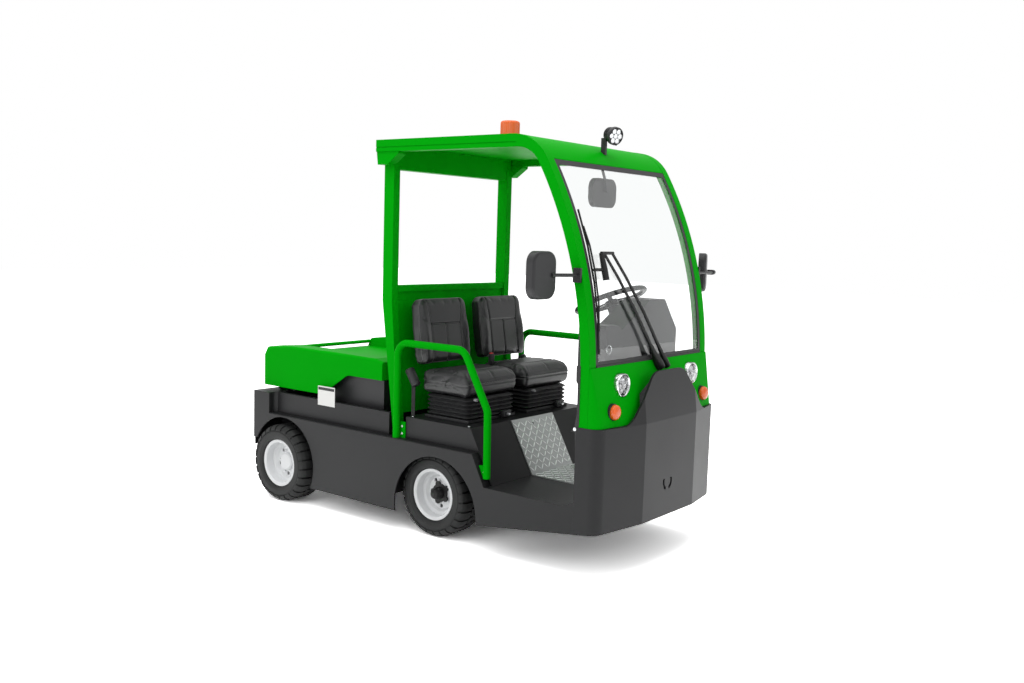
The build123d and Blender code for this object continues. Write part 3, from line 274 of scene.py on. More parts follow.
def placed(piece, name, offset, mirror=False):
    """A copy with its own mesh, moved (and mirrored left to right) in its mesh."""
    copy = piece.copy()
    copy.data = piece.data.copy()
    copy.name = name
    scene.collection.objects.link(copy)
    if mirror:
        copy.data.transform(Matrix.Scale(-1, 4, (1, 0, 0)))
        copy.data.flip_normals()
    copy.data.transform(Matrix.Translation(offset))
    return copy


def softened(piece, width, segments=2, degrees=40.0):
    """Bevels the edges sharper than the angle, and shades the piece smooth."""
    smoothed(piece)
    piece.modifiers.new("soft_edges", "BEVEL")
    piece.modifiers[-1].width = width
    piece.modifiers[-1].segments = segments
    piece.modifiers[-1].limit_method = "ANGLE"
    piece.modifiers[-1].angle_limit = math.radians(degrees)
    bpy.ops.object.modifier_apply(modifier="soft_edges")
    return smoothed(piece, 35)


def dressed(piece, material, slot, body="chassis", *replaced):
    """Gives a piece its finish, its body and the CAD nodes it stands for. The slot argument is not used."""
    piece.data.materials.clear()
    piece.data.materials.append(material)
    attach(piece, body)
    if replaced:
        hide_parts(*replaced)
    return piece


def lugs(name, section, shift):
    """A ring of lugs: one section (x, radius) spun over its own width, then repeated round the tyre."""
    pitch = 2 * math.pi / lug_count
    block = drawn(name, [(x, 0, r) for x, r in section] + [(section[0][0], 0, section[0][1])])
    bpy.ops.mesh.select_all(action="SELECT")
    bpy.ops.mesh.remove_doubles(threshold=0.00005)
    bpy.ops.mesh.edge_face_add()
    bpy.ops.mesh.select_all(action="SELECT")
    bpy.ops.transform.rotate(value=-shift * pitch, orient_axis="X", center_override=(0, 0, 0))
    bpy.ops.mesh.spin(steps=3, angle=lug_share * pitch, center=(0, 0, 0), axis=(1, 0, 0))
    closed_up()
    bpy.ops.mesh.select_all(action="SELECT")
    bpy.ops.mesh.spin(steps=lug_count, angle=2 * math.pi, center=(0, 0, 0), axis=(1, 0, 0), dupli=True)
    closed_up()
    bpy.ops.object.mode_set(mode="OBJECT")
    return block


side_wall = [(0.0775, 0.1405), (0.084, 0.1425), (0.0905, 0.1455), (0.0945, 0.150), (0.0965, 0.158),
             (0.0965, 0.1605),
             (0.0985, 0.1625), (0.099, 0.176), (0.0985, 0.188), (0.0965, 0.190), (0.094, 0.1985),
             (0.086, 0.213), (0.066, tyre_r - lug_depth)]
carcass = [(-x, r) for x, r in side_wall] + list(reversed(side_wall))
carcass_ring = turned("tyre_carcass", carcass + [(0.0775, 0.1275), (-0.0775, 0.1275), (-0.0775, 0.1405)],
                      (0, 0, 0), steps=78)
shoulder = [(0.020, 0.212), (0.0165, tyre_r - 0.002), (0.0185, tyre_r), (0.064, tyre_r),
            (0.070, tyre_r - 0.0012),
            (0.086, 0.2195), (0.0915, 0.2155), (0.0985, 0.2015), (0.0985, 0.1975), (0.0925, 0.195)]
centre_rib = [(-0.012, 0.212), (-0.0125, tyre_r - 0.0015), (-0.011, tyre_r), (0.011, tyre_r),
              (0.0125, tyre_r - 0.0015), (0.012, 0.212)]
lug_rings = [lugs("left_lugs", shoulder, 0.0), lugs("right_lugs", [(-x, r) for x, r in shoulder], 0.5),
             lugs("middle_lugs", centre_rib, 0.25)]
tyre = softened(joined("tyre_pattern", [carcass_ring] + lug_rings), 0.0011)
for corner in ("front_right", "front_left", "rear_right", "rear_left"):
    low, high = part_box(f"tyre_{corner}")
    dressed(placed(tyre, f"tyre_tread_{corner}", (low + high) / 2), rubber, "tyre_rubber",
            f"wheel_{corner}", f"tyre_{corner}")
bpy.data.objects.remove(tyre)
coat_node(rim_paint, "rim_front_right", "rim_front_left", "rim_rear_right", "rim_rear_left")

disc_face = 0.012
nut = [(0, 0.0085), (0.0035, 0.0085), (0.004, 0.0068), (0.0105, 0.0066), (0.0125, 0.005), (0.0135, 0.002),
       (0.0136, 0)]
for corner in ("front_right", "front_left", "rear_right", "rear_left"):
    out = -1 if corner.endswith("right") else 1
    low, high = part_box(f"tyre_{corner}")
    hub = (low + high) / 2
    nuts = []
    for i in range(5):
        angle = math.radians(72 * (i + 0.5) + nut_turn)
        place = hub + Vector((out * disc_face, -nut_circle_r * math.sin(angle),
                              nut_circle_r * math.cos(angle)))
        nuts.append(turned("nut", nut, place, steps=12, axis=(out, 0, 0)))
    dressed(joined(f"wheel_nuts_{corner}", nuts), rim_paint, "rim_white", f"wheel_{corner}")


# ---- windscreen ---------------------------------------------------------------------------
# One sheet of clear laminated glass bent to the arc of the cab, held in a dark rubber gasket
# that is pressed over its edges.
gasket_rubber = finish("gasket_rubber", (0.034, 0.034, 0.035), 0.6, specular=0.3)
glass = bpy.data.materials.new("windscreen_glass")
glass.use_nodes = True
shader = glass.node_tree.nodes["Principled BSDF"]
shader.inputs["Base Color"].default_value = (0.95, 0.97, 0.965, 1)
shader.inputs["Roughness"].default_value = 0.0
shader.inputs["IOR"].default_value = 1.45
shader.inputs["Transmission Weight"].default_value = 1.0
low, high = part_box("windscreen")
arc_centre = Vector((0, 1.014, 0.960))
screen_r = 2.025
screen_t = 0.006
screen_bays = 40


def on_screen(x, z, off=0.0):
    """A point at x, z, off the outer face of the glass."""
    return Vector((x, arc_centre.y - math.sqrt((screen_r + off) ** 2 - (z - arc_centre.z) ** 2), z))


heights = [low.z + (high.z - low.z) * i / screen_bays for i in range(screen_bays + 1)]
sheet = drawn("windscreen_sheet", [on_screen(low.x, z) for z in heights])
bpy.ops.mesh.select_all(action="SELECT")
bpy.ops.mesh.extrude_region_move(TRANSFORM_OT_translate={"value": (high.x - low.x, 0, 0)})
bpy.ops.mesh.select_all(action="SELECT")
bpy.ops.mesh.normals_make_consistent(inside=False)
bpy.ops.object.mode_set(mode="OBJECT")
if sheet.data.polygons[0].normal.y > 0:
    sheet.data.flip_normals()
sheet.modifiers.new("glass_thickness", "SOLIDIFY")
sheet.modifiers[-1].thickness = screen_t
sheet.modifiers[-1].offset = -1
bpy.ops.object.modifier_apply(modifier="glass_thickness")
dressed(smoothed(sheet, 30), glass, "glass_clear", "chassis", "windscreen")
coat_node(gasket_rubber, "windscreen_seal")

# ---- step and checker plate ---------------------------------------------------------------
# Aluminium tread plate, bent to the leaning front of the seat box and the cab floor, with
# rolled-up lozenges that alternate in direction and one screw at the top.
# The plate and its lozenges are one aluminium. The lozenges get a much lighter colour than the plate, a
# painted highlight for the light their raised tops catch, and the plate is kept darker as painted shade
# between them.
aluminium = finish("tread_aluminium", (0.36, 0.375, 0.37), 0.40, metallic=0.75, peel=0.25, peel_scale=500.0,
                   patch=0.1)
ridge_painted_highlight_aluminium = finish("tread_ridges_painted_highlight", (0.82, 0.84, 0.83), 0.28, metallic=0.75, patch=0.08)
black_steel = finish("black_screws", (0.015, 0.015, 0.016), 0.35, metallic=0.6)
coat_node(aluminium, "checker_plate")
low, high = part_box("checker_plate")
ridge_l = 0.021             # half the length of a lozenge
ridge_w = 0.0042
ridge_h = 0.0018
ridge_pitch = 0.0315
kick_top = Vector((0, high.y, high.z))
plate_t = 0.005
floor_top = low.z + plate_t
kick_slope = 0.559
kick_lean = math.atan(kick_slope)
kick_off = plate_t * math.sqrt(1 + kick_slope ** 2)


def block(name, low_corner, high_corner, soft=0.0, segments=2):
    """A box between two corners, with soft edges."""
    alone()
    middle = (Vector(low_corner) + Vector(high_corner)) / 2
    bpy.ops.mesh.primitive_cube_add(size=1, location=middle)
    piece = bpy.context.object
    piece.name = name
    piece.scale = [abs(b - a) for a, b in zip(low_corner, high_corner)]
    bpy.ops.object.transform_apply(location=True, rotation=True, scale=True)
    return softened(piece, soft, segments) if soft else piece


def prism(name, outline, depth, soft=0.0, segments=2):
    """A flat outline carried along a depth vector, with soft edges."""
    piece = drawn(name, list(outline) + [outline[0]])
    bpy.ops.mesh.select_all(action="SELECT")
    bpy.ops.mesh.remove_doubles(threshold=0.00001)
    bpy.ops.mesh.edge_face_add()
    bpy.ops.mesh.select_all(action="SELECT")
    bpy.ops.mesh.extrude_region_move(TRANSFORM_OT_translate={"value": depth})
    closed_up()
    return softened(piece, soft, segments) if soft else smoothed(piece)


def lozenge():
    """One ridge lying along X on Z = 0, with a pointed plan and a rounded back."""
    alone()
    bpy.ops.mesh.primitive_circle_add(vertices=8, radius=1, fill_type="NGON")
    ridge = bpy.context.object
    ridge.scale = (ridge_l, ridge_w, 1)
    bpy.ops.object.transform_apply(location=True, rotation=True, scale=True)
    bpy.ops.object.mode_set(mode="EDIT")
    bpy.ops.mesh.select_all(action="SELECT")
    bpy.ops.mesh.extrude_region_move(TRANSFORM_OT_translate={"value": (0, 0, ridge_h)})
    bpy.ops.transform.resize(value=(0.72, 0.5, 1))
    closed_up()
    bpy.ops.object.mode_set(mode="OBJECT")
    return ridge


pattern = lozenge()
ridges = []
kick_run = (high.z - floor_top) / math.cos(kick_lean)
floor_run = kick_top.y - kick_off - kick_slope * (high.z - floor_top) - low.y
tilt = Matrix.Rotation(math.pi / 2 - kick_lean, 4, "X")
for run, start, lie in (
        (kick_run, Vector((0, kick_top.y - kick_off - kick_slope * (high.z - floor_top), floor_top)), tilt),
        (floor_run, Vector((0, low.y, floor_top)), Matrix.Identity(4))):
    rows = int((run - 0.03) / ridge_pitch)
    columns = int((high.x - low.x - 0.02) / ridge_pitch)
    for row in range(rows + 1):
        for column in range(columns + 1):
            across = (column - columns / 2) * ridge_pitch
            along = run / 2 + (row - rows / 2) * ridge_pitch
            way = math.radians(45 if (row + column) % 2 else -45)
            spot = Matrix.Translation(start) @ lie @ Matrix.Translation((across, along, -0.0002))
            ridge = placed(pattern, "ridge", (0, 0, 0))
            ridge.data.transform(spot @ Matrix.Rotation(way, 4, "Z"))
            ridges.append(ridge)
bpy.data.objects.remove(pattern)
# The lozenges take the lighter aluminium, a painted highlight.
dressed(joined("tread_lozenges", ridges), ridge_painted_highlight_aluminium, "checker")
pan_head = [(-0.001, 0.006), (0.001, 0.006), (0.0026, 0.0045), (0.003, 0.002), (0.0031, 0)]
screw_z = high.z - 0.032
screw_at = Vector((-0.018, kick_top.y - kick_off - kick_slope * (high.z - screw_z), screw_z))
screw = turned("tread_screw", pan_head, screw_at, steps=16,
               axis=(0, -math.cos(kick_lean), math.sin(kick_lean)))
dressed(screw, black_steel, "steel_black")

# ---- bolts on the body --------------------------------------------------------------------
# Zinc-plated button heads on washers: along the seat deck's edge, on the feet of the grab rail
# and rear posts, and one in each pillar foot.
zinc = finish("zinc", (0.62, 0.63, 0.65), 0.32, metallic=0.9)
coat_node(zinc, "coupling_pin")
button = [(0, 0.0085), (0.0012, 0.0085), (0.0014, 0.0062), (0.0030, 0.0058), (0.0044, 0.0042),
          (0.0050, 0.0020),
          (0.0050, 0)]
seat_low, seat_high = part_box("seat_box")
body_bolts = [((s * x, y, seat_high.z), (0, 0, 1)) for s in (-1, 1)
              for x, y in ((0.500, -0.235), (0.500, 0.165))]
body_bolts += [((s * 0.5325, 0.216, z), (s, 0, 0)) for s in (-1, 1) for z in (0.535, 0.575)]
body_bolts += [((s * 0.5585, y, z), (s, 0, 0)) for s in (-1, 1) for y, z in ((-0.392, 0.425),)]
body_bolts += [((s * 0.484, y, 0.538), (s, 0, 0)) for s in (-1, 1) for y in (0.268, 0.288)]
bolts = [turned("bolt", button, Vector(place), steps=14, axis=way) for place, way in body_bolts]
dressed(joined("body_bolts", bolts), zinc, "pin_zinc")

# ---- bumper tongue brackets ---------------------------------------------------------------
# Folded steel brackets that hold the leaning tongue of the bumper off the front panel, one
# behind each flank, welded to the tongue.
tongue_back = -1.128
for name, s in (("right", -1), ("left", 1)):
    front = [Vector((s * 0.290, tongue_back, 0.800)), Vector((s * 0.170, tongue_back + 0.019, 0.945))]
    corner = Vector((s * 0.232, -1.086, 0.880))
    bracket = prism(f"tongue_bracket_{name}", front + [corner], (-s * 0.004, 0, -0.003), 0.0008)
    dressed(bracket, grey_paint, "paint_grey")

# ---- front lamps --------------------------------------------------------------------------
# Round headlamps with a chrome bezel, four small reflectors behind one clear domed lens, and
# below them amber direction lamps on black rubber bases.
chrome = finish("chrome", (0.55, 0.56, 0.57), 0.14, metallic=1.0, patch=0.02)
reflector = finish("reflector", (0.30, 0.305, 0.315), 0.28, metallic=1.0, patch=0.25)
dark_socket = finish("lamp_socket", (0.03, 0.03, 0.035), 0.4)
amber = finish("amber_lens", (0.82, 0.115, 0.006), 0.22, specular=0.5, patch=0.12)
lamp_rubber = finish("lamp_rubber", (0.012, 0.012, 0.012), 0.5, specular=0.3)
clear_plastic = glass.copy()
clear_plastic.name = "lamp_lens"
clear_plastic.node_tree.nodes["Principled BSDF"].inputs["Base Color"].default_value = (0.98, 0.98, 0.98, 1)
low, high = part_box("headlamps")
lamp_r = 0.0575
lamp_x = high.x - lamp_r
lamp_z = (low.z + high.z) / 2
ring_face = low.y + 0.008
ahead = (0, -1, 0)
bezel = [(-0.034, 0.050), (-0.034, lamp_r), (-0.004, lamp_r), (0.0, lamp_r - 0.002),
         (0.001, lamp_r - 0.005),
         (-0.003, lamp_r - 0.0085), (-0.010, lamp_r - 0.010), (-0.034, 0.050)]
bowl = [(-0.026, 0.0), (-0.026, 0.030), (-0.022, 0.042), (-0.008, 0.0480), (-0.008, 0.0487),
        (-0.058, 0.046),
        (-0.058, 0.0)]
cover = [(0.005, 0.0), (0.0045, 0.018), (0.002, 0.034), (-0.003, 0.0480), (-0.006, 0.0480),
         (-0.0005, 0.034),
         (0.002, 0.018), (0.0025, 0.0)]
cells = ((0.0, 0.020, 0.019), (-0.019, -0.006, 0.013), (0.019, -0.006, 0.013), (0.0, -0.027, 0.011))
for name, s in (("right", -1), ("left", 1)):
    centre = Vector((s * lamp_x, ring_face, lamp_z))
    ring = turned(f"headlamp_bezel_{name}", bezel, centre, steps=72, axis=ahead)
    dressed(ring, chrome, "lamp_clear", "chassis", "headlamps")
    pieces = [turned("lamp_bowl", bowl, centre, steps=48, axis=ahead)]
    for x, z, r in cells:
        cell = [(-0.026, r + 0.001), (-0.012, r + 0.001), (-0.011, r), (-0.013, r * 0.92),
                (-0.020, r * 0.6),
                (-0.0235, r * 0.25), (-0.024, 0.0)]
        pieces.append(turned("lamp_cell", cell, centre + Vector((x, 0, z)), steps=32, axis=ahead))
    dressed(joined(f"headlamp_reflector_{name}", pieces), reflector, "lamp_clear")
    bulbs = [turned("lamp_bulb", [(-0.024, 0.006), (-0.020, 0.006), (-0.018, 0.004), (-0.018, 0.0)],
                    centre + Vector((x, 0, z)), steps=16, axis=ahead) for x, z, r in cells[1:]]
    dressed(joined(f"headlamp_bulbs_{name}", bulbs), dark_socket, "lamp_clear")
    dressed(turned(f"headlamp_lens_{name}", cover, centre, steps=56, axis=ahead), clear_plastic,
            "lamp_clear")

low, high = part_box("indicators")
signal_r = 0.040
signal_x = high.x - signal_r
signal_z = (low.z + high.z) / 2
dome_h = 0.026
base = [(-0.038, 0.0), (-0.038, signal_r), (-0.002, signal_r), (0.0, signal_r - 0.002), (0.0, 0.036),
        (-0.004, 0.036),
        (-0.004, 0.0)]
dome = [(-0.003, 0.0), (-0.003, 0.0355), (0.004, 0.0365), (0.010, 0.0362), (0.017, 0.0335), (0.022, 0.028),
        (0.0250, 0.019), (0.0258, 0.009), (dome_h, 0.0)]
for name, s in (("right", -1), ("left", 1)):
    centre = Vector((s * signal_x, low.y + dome_h, signal_z))
    dressed(turned(f"indicator_base_{name}", base, centre, steps=48, axis=ahead), lamp_rubber, "lamp_amber",
            "chassis", "indicators")
    dressed(turned(f"indicator_lens_{name}", dome, centre, steps=56, axis=ahead), amber, "lamp_amber")

# ---- beacon and work lamp -----------------------------------------------------------------
# An amber flashing beacon with a ribbed lens on a black foot, and a swivelling work lamp with a
# finned black housing, a silver face of small cells and a steel bracket on the brow.
black_plastic = finish("black_plastic", (0.014, 0.014, 0.0155), 0.45, specular=0.32, peel=0.1, edge=0.0015)
low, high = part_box("beacon")
middle = Vector(((low.x + high.x) / 2, (low.y + high.y) / 2, low.z))
upward = (0, 0, 1)
foot = [(0.0, 0.0), (0.0, 0.058), (0.010, 0.058), (0.016, 0.0555), (0.022, 0.0555), (0.024, 0.053),
        (0.024, 0.0)]
dressed(turned("beacon_foot", foot, middle, steps=64, axis=upward), lamp_rubber, "plastic_black", "chassis",
        "beacon")
alone()
rib_count = 36
lens_low, lens_top = 0.0245, high.z - low.z
bpy.ops.mesh.primitive_cylinder_add(vertices=2 * rib_count, radius=0.0525, depth=lens_top - lens_low,
                                    location=middle + Vector((0, 0, (lens_top + lens_low) / 2)))
beacon = bpy.context.object
beacon.name = "beacon_lens"
bpy.ops.object.transform_apply(location=True, rotation=True, scale=True)
bpy.ops.object.mode_set(mode="EDIT")
bpy.ops.mesh.select_all(action="DESELECT")
bpy.ops.object.mode_set(mode="OBJECT")
for vertex in beacon.data.vertices:
    flat = Vector((vertex.co.x - middle.x, vertex.co.y - middle.y, 0))
    step = round((math.atan2(flat.y, flat.x) / (2 * math.pi) * 2 * rib_count))
    if step % 2:
        vertex.co += flat.normalized() * 0.0014
bpy.context.tool_settings.mesh_select_mode = (False, False, True)
top_face = max(beacon.data.polygons, key=lambda face: face.center.z)
top_face.select = True
bpy.ops.object.mode_set(mode="EDIT")
bpy.ops.transform.translate(value=(0, 0, -0.016))
for inward, up in ((0.97, 0.0065), (0.93, 0.0045), (0.85, 0.003), (0.6, 0.0015), (0.4, 0.0005)):
    bpy.ops.mesh.extrude_region_move(TRANSFORM_OT_translate={"value": (0, 0, up)})
    bpy.ops.transform.resize(value=(inward, inward, 1))
bpy.context.tool_settings.mesh_select_mode = (True, False, False)
dressed(smoothed(beacon, 25), amber, "lamp_amber", "chassis", "beacon")

low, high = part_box("work_lamp")
lamp_aside = math.radians(20)
lamp_down = math.radians(15)
aim = Vector((-math.sin(lamp_aside) * math.cos(lamp_down), -math.cos(lamp_aside) * math.cos(lamp_down),
              -math.sin(lamp_down)))
work_face = Vector((0, -0.7417, 2.1483))
coat_node(black_plastic, "work_lamp")
rim_ring = [(-0.010, 0.0462), (0.003, 0.0462), (0.005, 0.0445), (0.005, 0.0415), (0.0005, 0.0395),
            (-0.010, 0.0395)]
dressed(turned("work_lamp_bezel", rim_ring + rim_ring[:1], work_face, steps=56, axis=aim), black_plastic,
        "plastic_black")
side_way = aim.cross(Vector((0, 0, 1))).normalized()
up_way = side_way.cross(aim).normalized()
cell = [(0.0003, 0.0), (0.0008, 0.0105), (0.0035, 0.0115), (0.0035, 0.0125), (0.0, 0.0125)]
spots = [(0, 0)] + [(0.0262 * math.cos(math.radians(60 * i)),
                     0.0262 * math.sin(math.radians(60 * i))) for i in range(6)]
faces = [turned("cell", cell, work_face + side_way * a + up_way * b, steps=24, axis=aim) for a, b in spots]
dressed(joined("work_lamp_cells", faces), chrome, "lamp_clear")
bars = []
for a in (-1, 1):
    start = work_face - aim * 0.034 + side_way * (a * 0.036)
    corners = [start + up_way * 0.010 + aim * 0.010, start + up_way * 0.010 - aim * 0.010,
               start - up_way * 0.052 - aim * 0.008, start - up_way * 0.052 + aim * 0.008]
    bars.append(prism("bracket_arm", corners, side_way * (a * 0.0035), 0.001))
bolt_head = [(0, 0.0075), (0.005, 0.0075), (0.006, 0.006), (0.0062, 0)]
for a in (-1, 1):
    bars.append(turned("bracket_bolt", bolt_head, work_face - aim * 0.034 + side_way * (a * 0.0395),
                       steps=12,
                       axis=side_way * a))
dressed(joined("work_lamp_bracket", bars), black_paint, "steel_black")

# ---- seats --------------------------------------------------------------------------------
# Foam pads sewn in black vinyl on steel pans: a crowned cushion with a round front roll, and a
# back with side bolsters under a head panel. Piping covers the outer seams.
vinyl = finish("black_vinyl", (0.012, 0.012, 0.013), 0.40, specular=0.45, peel=0.25, peel_scale=420.0)
# The piping is the seat's black vinyl, made glossier and given a lighter colour. The lighter colour is a
# painted highlight along the piping; the gloss is real.
piping_painted_highlight_vinyl = finish("piping_painted_highlight_vinyl", (0.035, 0.035, 0.037), 0.30, specular=0.5)
voxel = 0.006
swell_cap = 0.008
seam_w = 0.005
seam_d = 0.007
cushion_low, cushion_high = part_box("seat_cushions")
seat_w = 0.450
seat_x = cushion_high.x - seat_w / 2
back_lean = math.radians(-9)
back_foot = Vector((0, cushion_high.y - 0.005, cushion_high.z))


def cord(name, points, radii, loop=False):
    """A round cord through the points, with its own radius at each."""
    alone()
    line = bpy.data.curves.new(name, "CURVE")
    line.dimensions = "3D"
    line.bevel_depth = 1.0
    line.bevel_resolution = 3
    line.use_fill_caps = not loop
    spline = line.splines.new("POLY")
    spline.points.add(len(points) - 1)
    for knot, place, r in zip(spline.points, points, radii):
        knot.co = (*place, 1)
        knot.radius = r
    spline.use_cyclic_u = loop
    piece = bpy.data.objects.new(name, line)
    scene.collection.objects.link(piece)
    piece.select_set(True)
    bpy.context.view_layer.objects.active = piece
    bpy.ops.object.convert(target="MESH")
    return smoothed(bpy.context.object, 50)


def filled(pad):
    """Fills a sewn cover: evenly meshed, blown up as cloth, and held near its own shape."""
    alone()
    pad.select_set(True)
    bpy.context.view_layer.objects.active = pad
    pad.modifiers.new("even_mesh", "REMESH")
    pad.modifiers[-1].mode = "VOXEL"
    pad.modifiers[-1].voxel_size = voxel
    bpy.ops.object.modifier_apply(modifier="even_mesh")
    sewn = [vertex.co.copy() for vertex in pad.data.vertices]
    pad.modifiers.new("foam", "CLOTH")
    cloth = pad.modifiers[-1].settings
    cloth.use_pressure = True
    cloth.uniform_pressure_force = 4.0
    cloth.effector_weights.gravity = 0.0
    for step in range(1, 21):
        scene.frame_set(step)
    bpy.ops.object.modifier_apply(modifier="foam")
    for vertex, start in zip(pad.data.vertices, sewn):
        moved = vertex.co - start
        if moved.length > swell_cap:
            vertex.co = start + moved.normalized() * swell_cap
    scene.frame_set(1)
    pad.modifiers.new("smooth_cover", "SUBSURF")
    pad.modifiers[-1].levels = 1
    bpy.ops.object.modifier_apply(modifier="smooth_cover")
    return smoothed(pad, 60)


def valley(distance):
    """How far a seam pulls the cover in, at a distance from it."""
    return seam_d * math.exp(-(distance / seam_w) ** 2)


def round_outline(half_x, half_y, corner, steps=6):
    """A rounded rectangle about the origin."""
    points = []
    for sx, sy, start in ((1, 1, 0), (-1, 1, 90), (-1, -1, 180), (1, -1, 270)):
        for i in range(steps + 1):
            a = math.radians(start + 90 * i / steps)
            points.append((sx * (half_x - corner) + corner * math.cos(a),
                           sy * (half_y - corner) + corner * math.sin(a)))
    return points


side = [(0.142, 0.772), (0.142, 0.884), (0.020, 0.892), (-0.110, 0.894), (-0.165, 0.884), (-0.192, 0.858),
        (-0.197, 0.822), (-0.186, 0.772)]
half = seat_w / 2 - 0.008
cushion = prism("cushion_pad", [(-half, y, z) for y, z in side], (2 * half, 0, 0), 0.022, 4)
cushion = filled(cushion)
facing = [vertex.normal.copy() for vertex in cushion.data.vertices]
for vertex, normal in zip(cushion.data.vertices, facing):
    p = vertex.co
    if normal.z > 0.5:
        bow = 0.10 * p.x * p.x / half
        for y in (-0.105, 0.045):
            p.z -= valley(p.y - y - bow)
    if abs(normal.z) < 0.6:
        vertex.co -= normal * (0.5 * valley(p.z - 0.828))
outline = round_outline(half + 0.001, 0.170, 0.030)
tree = BVHTree.FromPolygons([v.co for v in cushion.data.vertices],
                            [f.vertices for f in cushion.data.polygons])
welt = []
for x, y in outline:
    start = Vector((1.6 * x, -0.027 + 1.6 * y, 0.838))
    hit = tree.ray_cast(start, (Vector((0, -0.027, 0.838)) - start).normalized())
    welt.append(hit[0])
cushion_welt = cord("cushion_welt", welt, [0.0032] * len(welt), True)

head = [(-0.195, 0.004), (-0.208, 0.060), (-0.208, 0.215), (-0.196, 0.345), (-0.170, 0.374), (0.170, 0.374),
        (0.196, 0.345), (0.208, 0.215), (0.208, 0.060), (0.195, 0.004)]
back = prism("back_pad", [(x, -0.014, z) for x, z in head], (0, 0.074, 0), 0.020, 4)
back = filled(back)
head_seam_z = 0.224
facing = [vertex.normal.copy() for vertex in back.data.vertices]
for vertex, normal in zip(back.data.vertices, facing):
    p = vertex.co
    if normal.y < -0.4:
        bolster = math.exp(-((abs(p.x) - 0.168) / 0.030) ** 2 - ((p.z - 0.150) / 0.110) ** 2)
        p.y += valley(abs(p.x) - 0.122 - 0.12 * max(0, p.z - head_seam_z))
        if abs(p.x) < 0.125:
            p.y += valley(p.z - head_seam_z)
            if p.z < head_seam_z:
                p.y += valley(p.x)
        p.y -= 0.012 * bolster
tree = BVHTree.FromPolygons([v.co for v in back.data.vertices], [f.vertices for f in back.data.polygons])
rim = []
for i in range(80):
    a = 2 * math.pi * i / 80
    start = Vector((0.6 * math.cos(a), -0.004, 0.188 + 0.6 * math.sin(a)))
    hit = tree.ray_cast(start, (Vector((0, -0.004, 0.188)) - start).normalized())
    rim.append(hit[0])
back_welt = cord("back_welt", rim, [0.0032] * len(rim), True)
lean = Matrix.Translation(back_foot) @ Matrix.Rotation(back_lean, 4, "X")
for piece in (back, back_welt):
    piece.data.transform(lean)
for name, s in (("right", -1), ("left", 1)):
    offset = (s * seat_x, 0, 0)
    pad = placed(cushion, f"cushion_{name}", offset)
    dressed(pad, vinyl, "seat_cover", "chassis", "seat_cushions")
    pad = placed(back, f"backrest_{name}", offset)
    dressed(pad, vinyl, "seat_cover", "chassis", "seat_backs")
    # The piping takes the lighter vinyl, a painted highlight.
    dressed(placed(cushion_welt, f"cushion_piping_{name}", offset), piping_painted_highlight_vinyl, "seat_cover")
    dressed(placed(back_welt, f"back_piping_{name}", offset), piping_painted_highlight_vinyl, "seat_cover")
for piece in (cushion, cushion_welt, back, back_welt):
    bpy.data.objects.remove(piece)

# ---- seat suspensions ---------------------------------------------------------------------
# A rubber bellows folded into five ridges round each seat's suspension, clamped on a plastic
# base. A height knob sits high at its front, and the weight lever's housing low down.
bellows_rubber = finish("bellows_rubber", (0.010, 0.010, 0.011), 0.5, specular=0.4)
silver_knob = finish("silver_knob", (0.55, 0.56, 0.57), 0.3, metallic=0.8)
grey_knob = finish("grey_knob", (0.20, 0.20, 0.21), 0.4)
low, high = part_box("seat_suspensions")
ridge_count = 5
base_h = 0.018
fold_depth = 0.015
half_x = 0.200
half_y = (high.y - low.y) / 2
mid_y = (low.y + high.y) / 2
fold_h = (high.z - low.z - base_h) / (2 * ridge_count)
for name, s in (("right", -1), ("left", 1)):
    middle = Vector((s * seat_x, mid_y, low.z + base_h))
    plan = [middle + Vector((x, y, 0)) for x, y in round_outline(half_x - fold_depth, half_y - fold_depth,
                                                                 0.030)]
    bellows = drawn(f"bellows_{name}", plan + plan[:1])
    bpy.ops.mesh.select_all(action="SELECT")
    bpy.ops.mesh.remove_doubles(threshold=0.00005)
    bpy.ops.mesh.edge_face_add()
    for fold in range(2 * ridge_count):
        wide = ((half_x / (half_x - fold_depth)), (half_y / (half_y - fold_depth)), 1)
        if fold % 2:
            wide = [1 / w for w in wide]
        bpy.ops.mesh.extrude_region_move(TRANSFORM_OT_translate={"value": (0, 0, fold_h)})
        bpy.ops.transform.resize(value=wide)
    closed_up()
    bpy.ops.object.mode_set(mode="OBJECT")
    dressed(softened(bellows, 0.0015), bellows_rubber, "bellows_rubber", "chassis", "seat_suspensions")
    base = block(f"seat_base_{name}", middle - Vector((half_x, half_y, base_h)),
                 middle + Vector((half_x, half_y, 0)),
                 0.004)
    dressed(base, black_plastic, "plastic_black", "chassis", "seat_suspensions")
    front = Vector((s * seat_x + 0.103, low.y, low.z))
    housing = block(f"lever_housing_{name}", front + Vector((-0.036, -0.022, 0.004)),
                    front + Vector((0.036, 0.002, 0.046)), 0.006)
    dressed(housing, black_plastic, "plastic_black")
    grip = [(-0.004, 0.0), (-0.004, 0.007), (0.010, 0.009), (0.016, 0.007), (0.018, 0.0)]
    knob = turned(f"lever_knob_{name}", grip, front + Vector((0, -0.022, 0.024)), steps=20, axis=(0, -1, 0))
    dressed(knob, silver_knob, "pin_zinc")
    dial = turned(f"height_knob_{name}", grip, Vector((s * seat_x - 0.165, low.y - 0.012, high.z - 0.004)),
                  steps=20,
                  axis=(0, -1, 0))
    dressed(dial, grey_knob, "plastic_black")

